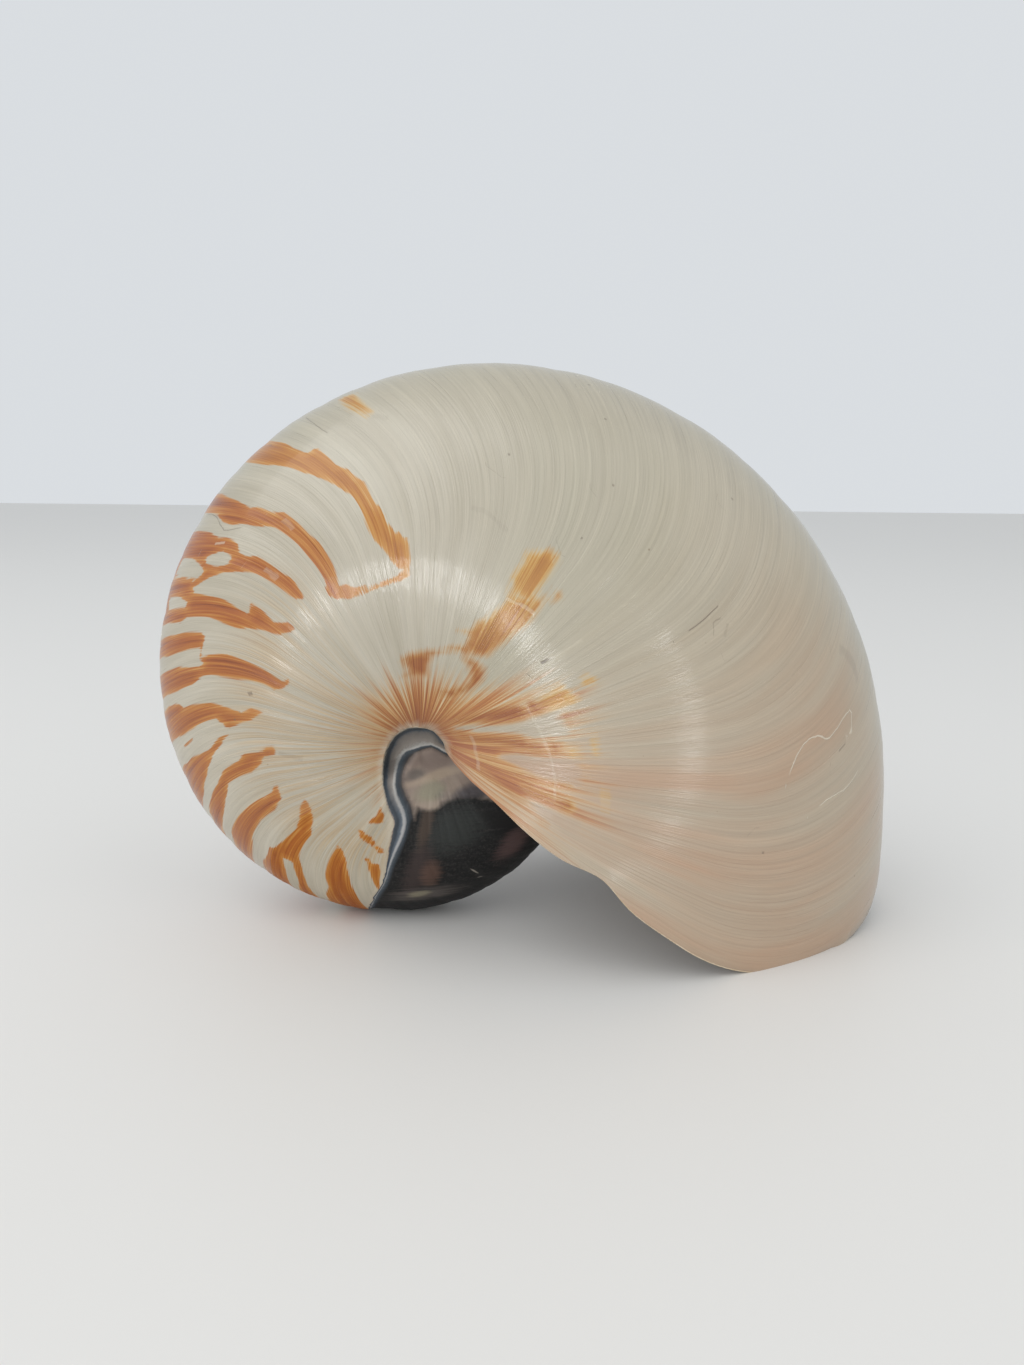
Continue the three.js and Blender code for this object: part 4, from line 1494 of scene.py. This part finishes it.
@dataclass
class NautilusShell:
    """The shell as one closed mesh: last whorl, inner coil, callus and the hollow on each side.

    While meshes are combined each layer needs a material of its own, or its slot is lost. Steps are growth
    angles with the degrees of each step up to there, and rings are growth angles with the depth inside the
    outer face. Depths, sizes and places are in millimetres.
    """

    materials: list[bpy.types.Material]
    spiral: Spiral = field(default_factory=Spiral)
    hollow: Hollow = field(default_factory=Hollow)
    coil_start: float = -130.0
    coil_steps: tuple = ((60.0, 3.0), (150.0, 0.75))
    whorl_steps: tuple = ((270.0, 0.75), (396.0, 1.75))
    lip_rings: tuple = ((396.22, 0.2), (396.3, 0.45), (396.22, 0.7), (396.0, 0.9), (393.0, 1.2),
                        (389.0, 1.5))
    inner_step: float = 3.0
    overlap: float = 2.0
    overlap_inset: float = 0.04
    lip_edge_to: float = 1.0
    septum: float = 262.0
    septum_dish: float = 16.0
    septum_middle: float = 0.6
    septum_rings: int = 8
    siphuncle_radius: float = 1.7
    siphuncle_depth: float = 9.0
    siphuncle_taper: float = 1.5
    siphuncle_segments: int = 24
    callus_profile: tuple = ((0.0, 21.0), (4.5, 21.0), (8.5, 16.0), (9.6, 14.0), (9.6, 0.0))
    callus_segments: int = 64
    cutter_cell: float = 0.27
    cutter_corner: tuple = (-12.5, -19.0)
    cutter_top: float = 10.0
    coil_cut: float = 15.0
    whorl_cut: float = 3.75
    below_size: float = 0.5
    ripples: tuple = ((2.3, 0.015, 0.3, 2.0), (3.7, 0.025, 1.9, -1.0), (6.1, 0.035, 4.0, 1.5),
                      (9.4, 0.045, 2.2, -2.5), (17.0, 0.06, 5.1, 1.0))
    ripples_across: tuple = (0.03, 0.5)
    film_ripples: tuple = (-5.0, -11.0)
    cutter_reach: float = 60.0
    hollow_smoothing: int = 4
    smoothing_share: float = 0.5
    sharp_angle: float = math.radians(40.0)
    flare: float = 0.014
    flare_from: tuple = (368.0, 380.0)
    flare_across: tuple = (0.7, 1.0)
    bays: tuple = ((3.0, 0.345, 0.055), (1.8, 0.125, 0.05))
    bays_from: tuple = (384.0, 396.0)
    bands_down_to: float = -60.0
    pearl_away: tuple = (11.0, 15.0)
    pearl_behind: tuple = (0.0, -35.0)

    def __post_init__(self) -> None:
        """Works out the section and its normals once."""
        points = np.array(self.spiral.half_section())
        edges = np.diff(points, axis=0)
        edges /= np.linalg.norm(edges, axis=1)[:, None]
        edge_normals = np.stack([edges[:, 1], -edges[:, 0]], axis=1)
        normals = edge_normals[:-1] + edge_normals[1:]
        normals /= np.linalg.norm(normals, axis=1)[:, None]
        self.section = points
        self.normals = np.vstack([[1.0, 0.0], normals, [0.0, 1.0]])
        self.centre = Vector((AXIS_X, 0.0, AXIS_Z)) * METRES

    def spot(self, growth: float, place: int, inset: float = 0.0, back: float = 0.0) -> Vector:
        """Place of one point of a growth line.

        Args:
            growth: Growth angle of the line.
            place: Index on the section, negative on the near flank.
            inset: How far it lies inside the shell's outer face.
            back: How far it is turned back.

        Returns:
            The place in metres, in the frame of the object.
        """
        reach, width = self.section[abs(place)]
        normal = self.normals[abs(place)]
        angle = growth - float(self.spiral.lag(reach)) - back
        radius = float(self.spiral.radius(angle))
        away = reach * radius - normal[0] * inset
        half = max(width * radius - normal[1] * inset, 0.0)
        turned = math.radians(angle)
        return Vector((AXIS_X + away * math.cos(turned), math.copysign(half, place),
                       AXIS_Z - away * math.sin(turned))) * METRES

    def first_line(self, bm: BMesh, growth: float) -> list[bmesh.types.BMEdge]:
        """Puts one growth line into a mesh, as a closed loop of edges.

        Args:
            bm: The mesh.
            growth: Growth angle of the line.

        Returns:
            Its edges.
        """
        layer = bm.verts.layers.int.new("place")
        last = len(self.section) - 1
        verts = []
        for place in range(-last, last + 1):
            vert = bm.verts.new(self.spot(growth, place))
            vert[layer] = place
            verts.append(vert)
        return [bm.edges.new(pair) for pair in zip(verts, verts[1:] + verts[:1])]

    def extrude(self, bm: BMesh, edges: list, layer: Layer) -> tuple[list, list]:
        """Extrudes a growth line in place.

        Args:
            bm: The mesh.
            edges: The growth line.
            layer: What the new faces are made of.

        Returns:
            The vertices and the edges of the new line.
        """
        made = bmesh.ops.extrude_edge_only(bm, edges=edges)["geom"]
        verts = [v for v in made if isinstance(v, bmesh.types.BMVert)]
        fresh = set(verts)
        for face in made:
            if isinstance(face, bmesh.types.BMFace):
                face.material_index = layer
        line = [e for e in made if isinstance(e, bmesh.types.BMEdge) and fresh.issuperset(e.verts)]
        return verts, line

    def grow(self, bm: BMesh, edges: list, turn: float, layer: Layer) -> list:
        """Adds the next growth line: the last one, turned about the axis and enlarged.

        Args:
            bm: The mesh.
            edges: The last line.
            turn: Degrees of growth.
            layer: What the new faces are made of.

        Returns:
            The edges of the new line.
        """
        verts, line = self.extrude(bm, edges, layer)
        size = math.exp(self.spiral.rate * math.radians(turn))
        matrix = Matrix.Rotation(math.radians(turn), 3, "Y")
        bmesh.ops.rotate(bm, verts=verts, cent=self.centre, matrix=matrix)
        bmesh.ops.scale(bm, verts=verts, vec=(size, size, size), space=Matrix.Translation(-self.centre))
        return line

    def close(self, bm: BMesh, edges: list, layer: Layer) -> None:
        """Closes a growth line with strips from its near half to its far half.

        Args:
            bm: The mesh.
            edges: The line.
            layer: What the strips are made of.
        """
        key = bm.verts.layers.int["place"]
        places = {v[key]: v for edge in edges for v in edge.verts}
        for place in range(len(self.section) - 1):
            corners = {places[-place], places[-place - 1], places[place + 1], places[place]}
            made = bmesh.ops.contextual_create(bm, geom=list(corners))
            for face in made["faces"]:
                face.material_index = layer

    def coil(self) -> Object:
        """Builds the inner coil, whose outside shows in the mouth and below the hollow."""
        bm = bmesh.new()
        line = self.first_line(bm, self.coil_start)
        self.close(bm, line, Layer.COIL)
        at = self.coil_start
        for end, step in self.coil_steps:
            count = round((end - at) / step)
            for _ in range(count):
                line = self.grow(bm, line, (end - at) / count, Layer.COIL)
            at = end
        key = bm.verts.layers.int["place"]
        for growth in np.linspace(at, at + self.overlap, 3):
            if growth > at:
                _, line = self.extrude(bm, line, Layer.COIL)
            for vert in {v for edge in line for v in edge.verts}:
                vert.co = self.spot(growth, vert[key], self.overlap_inset)
        self.close(bm, line, Layer.COIL)
        bmesh.ops.recalc_face_normals(bm, faces=bm.faces)
        return make_object("coil", bm, self.materials)

    def whorl(self) -> Object:
        """Builds the last whorl with its lip, its inner wall and the dished wall at its back."""
        bm = bmesh.new()
        at = self.coil_steps[-1][0]
        line = self.first_line(bm, at)
        self.close(bm, line, Layer.OUTER)
        for end, step in self.whorl_steps:
            count = round((end - at) / step)
            for _ in range(count):
                line = self.grow(bm, line, (end - at) / count, Layer.OUTER)
            at = end
        key = bm.verts.layers.int["place"]
        for growth, inset in self.lip_rings:
            layer = Layer.LIP if inset <= self.lip_edge_to else Layer.NACRE
            verts, line = self.extrude(bm, line, layer)
            for vert in verts:
                vert.co = self.spot(growth, vert[key], inset)
            at = growth
        count = round((at - self.septum) / self.inner_step)
        for _ in range(count):
            line = self.grow(bm, line, (self.septum - at) / count, Layer.NACRE)
        inset = (1.0 - self.septum_middle) * float(self.spiral.radius(self.septum))
        middle = self.spot(self.septum, 0, inset)
        for step in range(1, self.septum_rings):
            verts, line = self.extrude(bm, line, Layer.NACRE)
            left = (self.septum_rings - step) / (self.septum_rings - step + 1)
            bmesh.ops.scale(bm, verts=verts, vec=(left, left, left), space=Matrix.Translation(-middle))
            back = -self.septum_dish * (2 * (self.septum_rings - step) + 1) / self.septum_rings ** 2
            turn = Matrix.Rotation(math.radians(back), 3, "Y")
            bmesh.ops.rotate(bm, verts=verts, cent=self.centre, matrix=turn)
            middle = self.centre + turn @ (middle - self.centre)
        self.close(bm, line, Layer.NACRE)
        bmesh.ops.recalc_face_normals(bm, faces=bm.faces)
        return make_object("whorl", bm, self.materials)

    def callus(self) -> Object:
        """Builds the plug that closes the middle of the coil, to be cut to the hollow's floor."""
        bm = bmesh.new()
        outline = [*self.callus_profile, *((x, -y) for x, y in reversed(self.callus_profile[:-1]))]
        verts = [bm.verts.new(Vector((AXIS_X + x, y, AXIS_Z)) * METRES) for x, y in outline]
        edges = [bm.edges.new(pair) for pair in zip(verts, verts[1:])]
        bmesh.ops.spin(bm, geom=verts + edges, cent=self.centre, axis=(0.0, 1.0, 0.0), angle=2.0 * math.pi,
                       steps=self.callus_segments, use_merge=True)
        bmesh.ops.remove_doubles(bm, verts=bm.verts, dist=TINY)
        bmesh.ops.recalc_face_normals(bm, faces=bm.faces)
        for face in bm.faces:
            face.material_index = Layer.HOLLOW
        return make_object("callus", bm, self.materials)

    def cutter(self, side: int, right: float) -> Object:
        """Builds what is taken out of one flank at the umbilicus.

        Args:
            side: -1 on the near flank and 1 on the far one.
            right: How far it reaches towards the mouth.

        Returns:
            A closed block whose inner face has the shape of the hollow.
        """
        low, high = self.cutter_corner, (right, self.cutter_top)
        columns, rows = (round((b - a) / self.cutter_cell) for a, b in zip(low, high))
        bm = bmesh.new()
        bmesh.ops.create_grid(bm, x_segments=columns, y_segments=rows, size=1.0)
        places = np.array([v.co[:2] for v in bm.verts])
        x, z = (a + (b - a) * (1.0 + places[:, k]) / 2.0 for k, (a, b) in enumerate(zip(low, high)))
        height = self.hollow.height(self.spiral, x, z)
        for vert, *place in zip(bm.verts, x, height, z):
            vert.co = Vector((AXIS_X + place[0], side * place[1], AXIS_Z + place[2])) * METRES
        made = bmesh.ops.extrude_face_region(bm, geom=bm.faces[:])["geom"]
        for vert in made:
            if isinstance(vert, bmesh.types.BMVert):
                vert.co.y = side * self.cutter_reach * METRES
        bmesh.ops.recalc_face_normals(bm, faces=bm.faces)
        for face in bm.faces:
            face.material_index = Layer.HOLLOW
        return make_object("cutter", bm, self.materials)

    def siphuncle(self) -> Object:
        """Builds the round hole that a cord of flesh once passed through in the last inner wall."""
        bm = bmesh.new()
        bmesh.ops.create_cone(bm, cap_ends=True, segments=self.siphuncle_segments,
                              radius1=self.siphuncle_radius,
                              radius2=self.siphuncle_radius * self.siphuncle_taper,
                              depth=2.0 * self.siphuncle_depth)
        turned = math.radians(self.septum - self.septum_dish)
        away = self.septum_middle * float(self.spiral.radius(self.septum - self.septum_dish))
        place = Vector((AXIS_X + away * math.cos(turned), 0.0, AXIS_Z - away * math.sin(turned)))
        along = Vector((-math.sin(turned), 0.0, -math.cos(turned)))
        frame = Matrix.Translation(place * METRES) @ along.to_track_quat("Z", "Y").to_matrix().to_4x4()
        bmesh.ops.transform(bm, verts=bm.verts, matrix=frame @ Matrix.Scale(METRES, 4))
        for face in bm.faces:
            face.material_index = Layer.NACRE
        return make_object("siphuncle", bm, self.materials)

    def floor_cut(self) -> Object:
        """Builds the block below the level that the shell stands on."""
        bm = bmesh.new()
        bmesh.ops.create_cube(bm, size=self.below_size)
        bmesh.ops.translate(bm, verts=bm.verts, vec=(0.0, 0.0, -self.below_size / 2.0))
        for face in bm.faces:
            face.material_index = Layer.COIL
        return make_object("level", bm, self.materials)

    def build(self) -> Object:
        """Builds the whole shell."""
        shell = self.whorl()
        shell.name = "nautilus_shell"
        coil = self.coil()
        combine(coil, self.callus(), Operation.UNION)
        for side in (-1, 1):
            combine(coil, self.cutter(side, self.coil_cut), Operation.DIFFERENCE)
            combine(shell, self.cutter(side, self.whorl_cut), Operation.DIFFERENCE)
        combine(shell, coil, Operation.UNION)
        combine(shell, self.siphuncle(), Operation.DIFFERENCE)
        combine(shell, self.floor_cut(), Operation.DIFFERENCE)
        shell.data.name = "nautilus_shell"
        self.shape(shell.data)
        self.smooth(shell.data)
        self.place_patterns(shell.data)
        own_copy = shell.data.materials[Layer.HOLLOW]
        shell.data.materials[Layer.HOLLOW] = shell.data.materials[Layer.COIL]
        bpy.data.materials.remove(own_copy)
        return shell

    def smooth(self, mesh: Mesh) -> None:
        """Eases the surface of the hollow and marks the edges that stay sharp.

        Args:
            mesh: The whole shell's mesh.
        """
        bm = bmesh.new()
        bm.from_mesh(mesh)
        soft = [v for v in bm.verts if all(f.material_index == Layer.HOLLOW for f in v.link_faces)]
        for _ in range(self.hollow_smoothing):
            bmesh.ops.smooth_vert(bm, verts=soft, factor=self.smoothing_share, use_axis_x=True,
                                  use_axis_y=True, use_axis_z=True)
        bm.normal_update()
        for edge in bm.edges:
            soft_edge = all(f.material_index in (Layer.COIL, Layer.HOLLOW) for f in edge.link_faces)
            edge.smooth = soft_edge or edge.calc_face_angle(0.0) < self.sharp_angle
        for face in bm.faces:
            face.smooth = True
        bm.to_mesh(mesh)
        bm.free()

    def beside_axis(self, mesh: Mesh) -> Points:
        """Places of a mesh's vertices in millimetres beside the coil's axis."""
        places = np.empty(3 * len(mesh.vertices))
        mesh.vertices.foreach_get("co", places)
        return places.reshape(-1, 3) / METRES - (AXIS_X, 0.0, AXIS_Z)

    def vertex_layers(self, mesh: Mesh) -> tuple[Points, Points, Points]:
        """The vertex and the layer of each corner, and the vertices that each layer uses.

        Args:
            mesh: The whole shell's mesh.

        Returns:
            The two lists, and a row for each layer that tells whether each vertex is used by it.
        """
        vertex = np.empty(len(mesh.loops), np.int32)
        mesh.loops.foreach_get("vertex_index", vertex)
        layer = np.empty(len(mesh.polygons), np.int32)
        mesh.polygons.foreach_get("material_index", layer)
        total = np.empty(len(mesh.polygons), np.int32)
        mesh.polygons.foreach_get("loop_total", total)
        layer = np.repeat(layer, total)
        used = np.zeros((len(Layer), len(mesh.vertices)), bool)
        used[layer, vertex] = True
        return vertex, layer, used

    def ripple(self, growth: Points, reach: Points, across: Points) -> Points:
        """Height of the ripples of growth in millimetres."""
        waves = sum(height * np.sin(growth * 2.0 * math.pi / period + phase + wander * across)
                    for period, height, phase, wander in self.ripples)
        return waves * smoothstep(*self.ripples_across, reach)

    def lip_moved(self, places: Points, whorl: Points) -> Points:
        """Widens the last part of the whorl and draws the two bays into its lip.

        Args:
            places: Places of the vertices in millimetres beside the axis.
            whorl: Which of them belong to the whorl.

        Returns:
            The new places.
        """
        x, y, z = places.T
        growth, reach, _ = self.spiral.locate(x, z, whorl=True)
        angle = self.spiral.unwrap(x, z, whorl=True)
        flare = smoothstep(*self.flare_from, angle) * smoothstep(*self.flare_across, reach)
        size = np.where(whorl, 1.0 + self.flare * flare, 1.0)
        back = sum(depth * bump(middle, width, reach) for depth, middle, width in self.bays)
        turn = np.radians(np.where(whorl, -smoothstep(*self.bays_from, growth) * back, 0.0))
        return np.stack([(x * np.cos(turn) + z * np.sin(turn)) * size, y,
                         (z * np.cos(turn) - x * np.sin(turn)) * size], axis=1)

    def shape(self, mesh: Mesh) -> None:
        """Moves the surface where growth was uneven: the lip, ripples of growth and the bands.

        Args:
            mesh: The whole shell's mesh.
        """
        _, _, used = self.vertex_layers(mesh)
        whorl = used[Layer.OUTER] | used[Layer.LIP] | used[Layer.NACRE]
        whorl &= ~(used[Layer.COIL] | used[Layer.HOLLOW])
        places = self.beside_axis(mesh)
        normals = np.empty(3 * len(mesh.vertices))
        mesh.vertex_normals.foreach_get("vector", normals)
        normals = normals.reshape(-1, 3)
        x, y, z = places.T
        moved = self.lip_moved(places, whorl)
        # ripples of growth on everything but the inner wall and the edge of the lip
        heights = []
        for on_whorl in (True, False):
            growth, reach, radius = self.spiral.locate(x, z, on_whorl)
            heights.append(self.ripple(growth, reach, self.spiral.across(reach, y / radius)))
        height = np.where(used[Layer.OUTER], *heights)
        height *= np.where(used[Layer.OUTER] | used[Layer.COIL], 1.0, smoothstep(*self.film_ripples, z))
        outside = ~(used[Layer.NACRE] | used[Layer.LIP])
        moved += normals * np.where(outside, height, 0.0)[:, None]
        # the shallow profile of the bands below the hollow
        band = self.hollow.band(np.stack([x, z], axis=1))
        depth = self.hollow.tail_profile(band) * self.hollow.tail(z)
        coil_only = (used[Layer.COIL] | used[Layer.HOLLOW]) & ~used[Layer.OUTER] & ~used[Layer.NACRE]
        coil_only &= z > self.bands_down_to
        moved += normals * np.where(coil_only, depth, 0.0)[:, None]
        moved = (moved + (AXIS_X, 0.0, AXIS_Z)) * METRES
        moved[:, 2] = np.maximum(moved[:, 2], 0.0)
        mesh.vertices.foreach_set("co", moved.ravel())
        mesh.update()

    def patterns(self, places: Points, rim: Points, whorl: bool) -> tuple[Points, ...]:
        """Works out what the outer layer's material needs at each vertex.

        Args:
            places: Places of the vertices in millimetres beside the axis.
            rim: Weight of the pale rim along the hollow's border.
            whorl: Whether the last whorl is meant or the coil inside it.

        Returns:
            The vectors growth, marking_gap, tint, wear and fissure.
        """
        marks, tints = Markings(), Tints()
        x, y, z = places.T
        growth, reach, radius = self.spiral.locate(x, z, whorl)
        across = self.spiral.across(np.minimum(reach, 1.0), y / radius)
        side = np.where(y > 0.0, across, -across)
        away = np.hypot(x, z)
        warped, shifted = marks.on_flank(growth, across, y > 0.0)
        stripe, blotch, bare, wedge = (
            marks.gap(outlines, warped, shifted, reach, radius)
            for outlines in (marks.stripes, marks.blotches, marks.bare, marks.wedges))
        vectors = (
            (growth, side, rim),
            (np.maximum(stripe, -bare), blotch, away),
            (tints.fan(growth, away, wedge), tints.pink_and_warm_reflection(growth, across), tints.green(growth, across)),
            (tints.ochre(growth), tints.tan(growth, across, away), tints.pale(growth, across)))
        return (*(np.stack(parts, axis=1) for parts in vectors),
                marks.fissure(growth, -side, reach, radius))

    def place_patterns(self, mesh: Mesh) -> None:
        """Keeps on each corner what the materials need: growth, distances to markings, bands and tints.

        Args:
            mesh: The whole shell's mesh.
        """
        vertex, layer, _ = self.vertex_layers(mesh)
        places = self.beside_axis(mesh)
        x, _, z = places.T
        flat = np.stack([x, z], axis=1)
        rim = self.hollow.rim(flat)
        on_whorl = np.isin(layer, (Layer.OUTER, Layer.LIP, Layer.NACRE))[:, None]
        of_whorl, of_coil = (self.patterns(places, rim, whorl) for whorl in (True, False))
        angle = self.spiral.unwrap(x, z, whorl=False)
        pearl = smoothstep(*self.pearl_away, np.hypot(x, z)) * smoothstep(*self.pearl_behind, angle)
        zone = np.stack([self.hollow.band(flat), self.hollow.film(flat), pearl], axis=1)
        names = ("growth", "marking_gap", "tint", "wear", "fissure", "zone")
        for name, ours, theirs in zip(names, (*of_whorl, zone), (*of_coil, zone)):
            data = np.where(on_whorl, ours[vertex], theirs[vertex])
            mesh.attributes.new(name, "FLOAT_VECTOR", "CORNER").data.foreach_set("vector", data.ravel())


@dataclass(frozen=True)
class Floor:
    """The plain pale floor that the shell stands on."""

    half_side: float = 3.0
    tone: str = "#E2E0DC"

    def build(self) -> Object:
        """Lays the floor."""
        bm = bmesh.new()
        bmesh.ops.create_grid(bm, x_segments=1, y_segments=1, size=self.half_side)
        # gives the eye a plain pale ground that takes a soft shadow
        paper = bpy.data.materials.new("paper")
        paper.use_nodes = True
        paper.node_tree.nodes["Principled BSDF"].inputs["Base Color"].default_value = linear(self.tone)
        floor = make_object("floor", bm, [paper])
        log.info("floor laid")
        return floor


@dataclass(frozen=True)
class Window:
    """A soft light: its direction in degrees, its size in metres and its power in watts."""

    azimuth: float
    elevation: float
    width: float
    height: float
    power: float

    def build(self, middle: Vector, distance: float) -> None:
        """Hangs the light so that it faces a place from a distance.

        Args:
            middle: The place, in metres.
            distance: How far away it hangs, in metres.
        """
        light = bpy.data.lights.new("window", "AREA")
        light.shape = "RECTANGLE"
        light.size = self.width
        light.size_y = self.height
        light.energy = self.power
        lamp = bpy.data.objects.new("window", light)
        bpy.context.scene.collection.objects.link(lamp)
        azimuth, elevation = math.radians(self.azimuth), math.radians(self.elevation)
        way = Vector((math.sin(azimuth) * math.cos(elevation), -math.cos(azimuth) * math.cos(elevation),
                      math.sin(elevation)))
        lamp.location = middle + way * distance
        lamp.rotation_euler = (-way).to_track_quat("-Z", "Y").to_euler()


@dataclass(frozen=True)
class Daylight:
    """Even light of a pale room with the windows behind the viewer."""

    sky: str = "#E4E8EC"
    strength: float = 0.9
    middle: tuple = (0.0, 0.0, 0.06)
    distance: float = 1.4
    windows: tuple = (Window(-20.0, 3.0, 0.24, 0.26, 3.6), Window(25.0, 3.0, 0.1, 0.3, 1.0),
                      Window(-50.0, 50.0, 1.4, 1.2, 7.4), Window(60.0, 45.0, 1.2, 1.0, 1.8))

    def build(self) -> None:
        """Lights the scene."""
        world = bpy.data.worlds.new("daylight")
        bpy.context.scene.world = world
        world.use_nodes = True
        background = world.node_tree.nodes["Background"]
        background.inputs["Color"].default_value = linear(self.sky)
        background.inputs["Strength"].default_value = self.strength
        for window in self.windows:
            window.build(Vector(self.middle), self.distance)
        log.info("%d windows hung", len(self.windows))


@dataclass(frozen=True)
class Viewpoint:
    """The camera where the photograph was taken: place in metres and directions of its axes."""

    eye: tuple = (-0.018033, -0.234744, 0.103120)
    forward: tuple = (0.05588595, 0.97846567, -0.1987)
    right: tuple = (0.99843656, -0.05454936, 0.01219881)
    up: tuple = (-0.00109716, 0.19907109, 0.97998444)
    lens: float = 27.03
    sensor: float = 36.0
    near: float = 0.01

    def build(self) -> None:
        """Puts the camera in its place and shows colours as they are."""
        data = bpy.data.cameras.new("camera")
        camera = bpy.data.objects.new("camera", data)
        bpy.context.scene.collection.objects.link(camera)
        turned = Matrix((self.right, self.up, -Vector(self.forward))).transposed()
        camera.matrix_world = Matrix.Translation(Vector(self.eye)) @ turned.to_4x4()
        data.lens = self.lens
        data.sensor_width = self.sensor
        data.clip_start = self.near
        bpy.context.scene.camera = camera
        bpy.context.scene.view_settings.view_transform = "Standard"
        log.info("camera placed")


def main() -> None:
    """Builds the scene in order."""
    logging.basicConfig(level=logging.INFO)
    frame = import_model()
    log.info("frame has %d nodes", len(frame["nodes"]))
    outer, film = PorcelainLayer().build(), FilmAndBands().build()
    pearl, edge = MotherOfPearl().build(), BrokenEdge().build()
    shell = NautilusShell([outer, film, film.copy(), pearl, edge]).build()
    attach(shell, "root")
    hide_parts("shell")
    Floor().build()
    Viewpoint().build()
    Daylight().build()


if __name__ == "__main__":
    main()
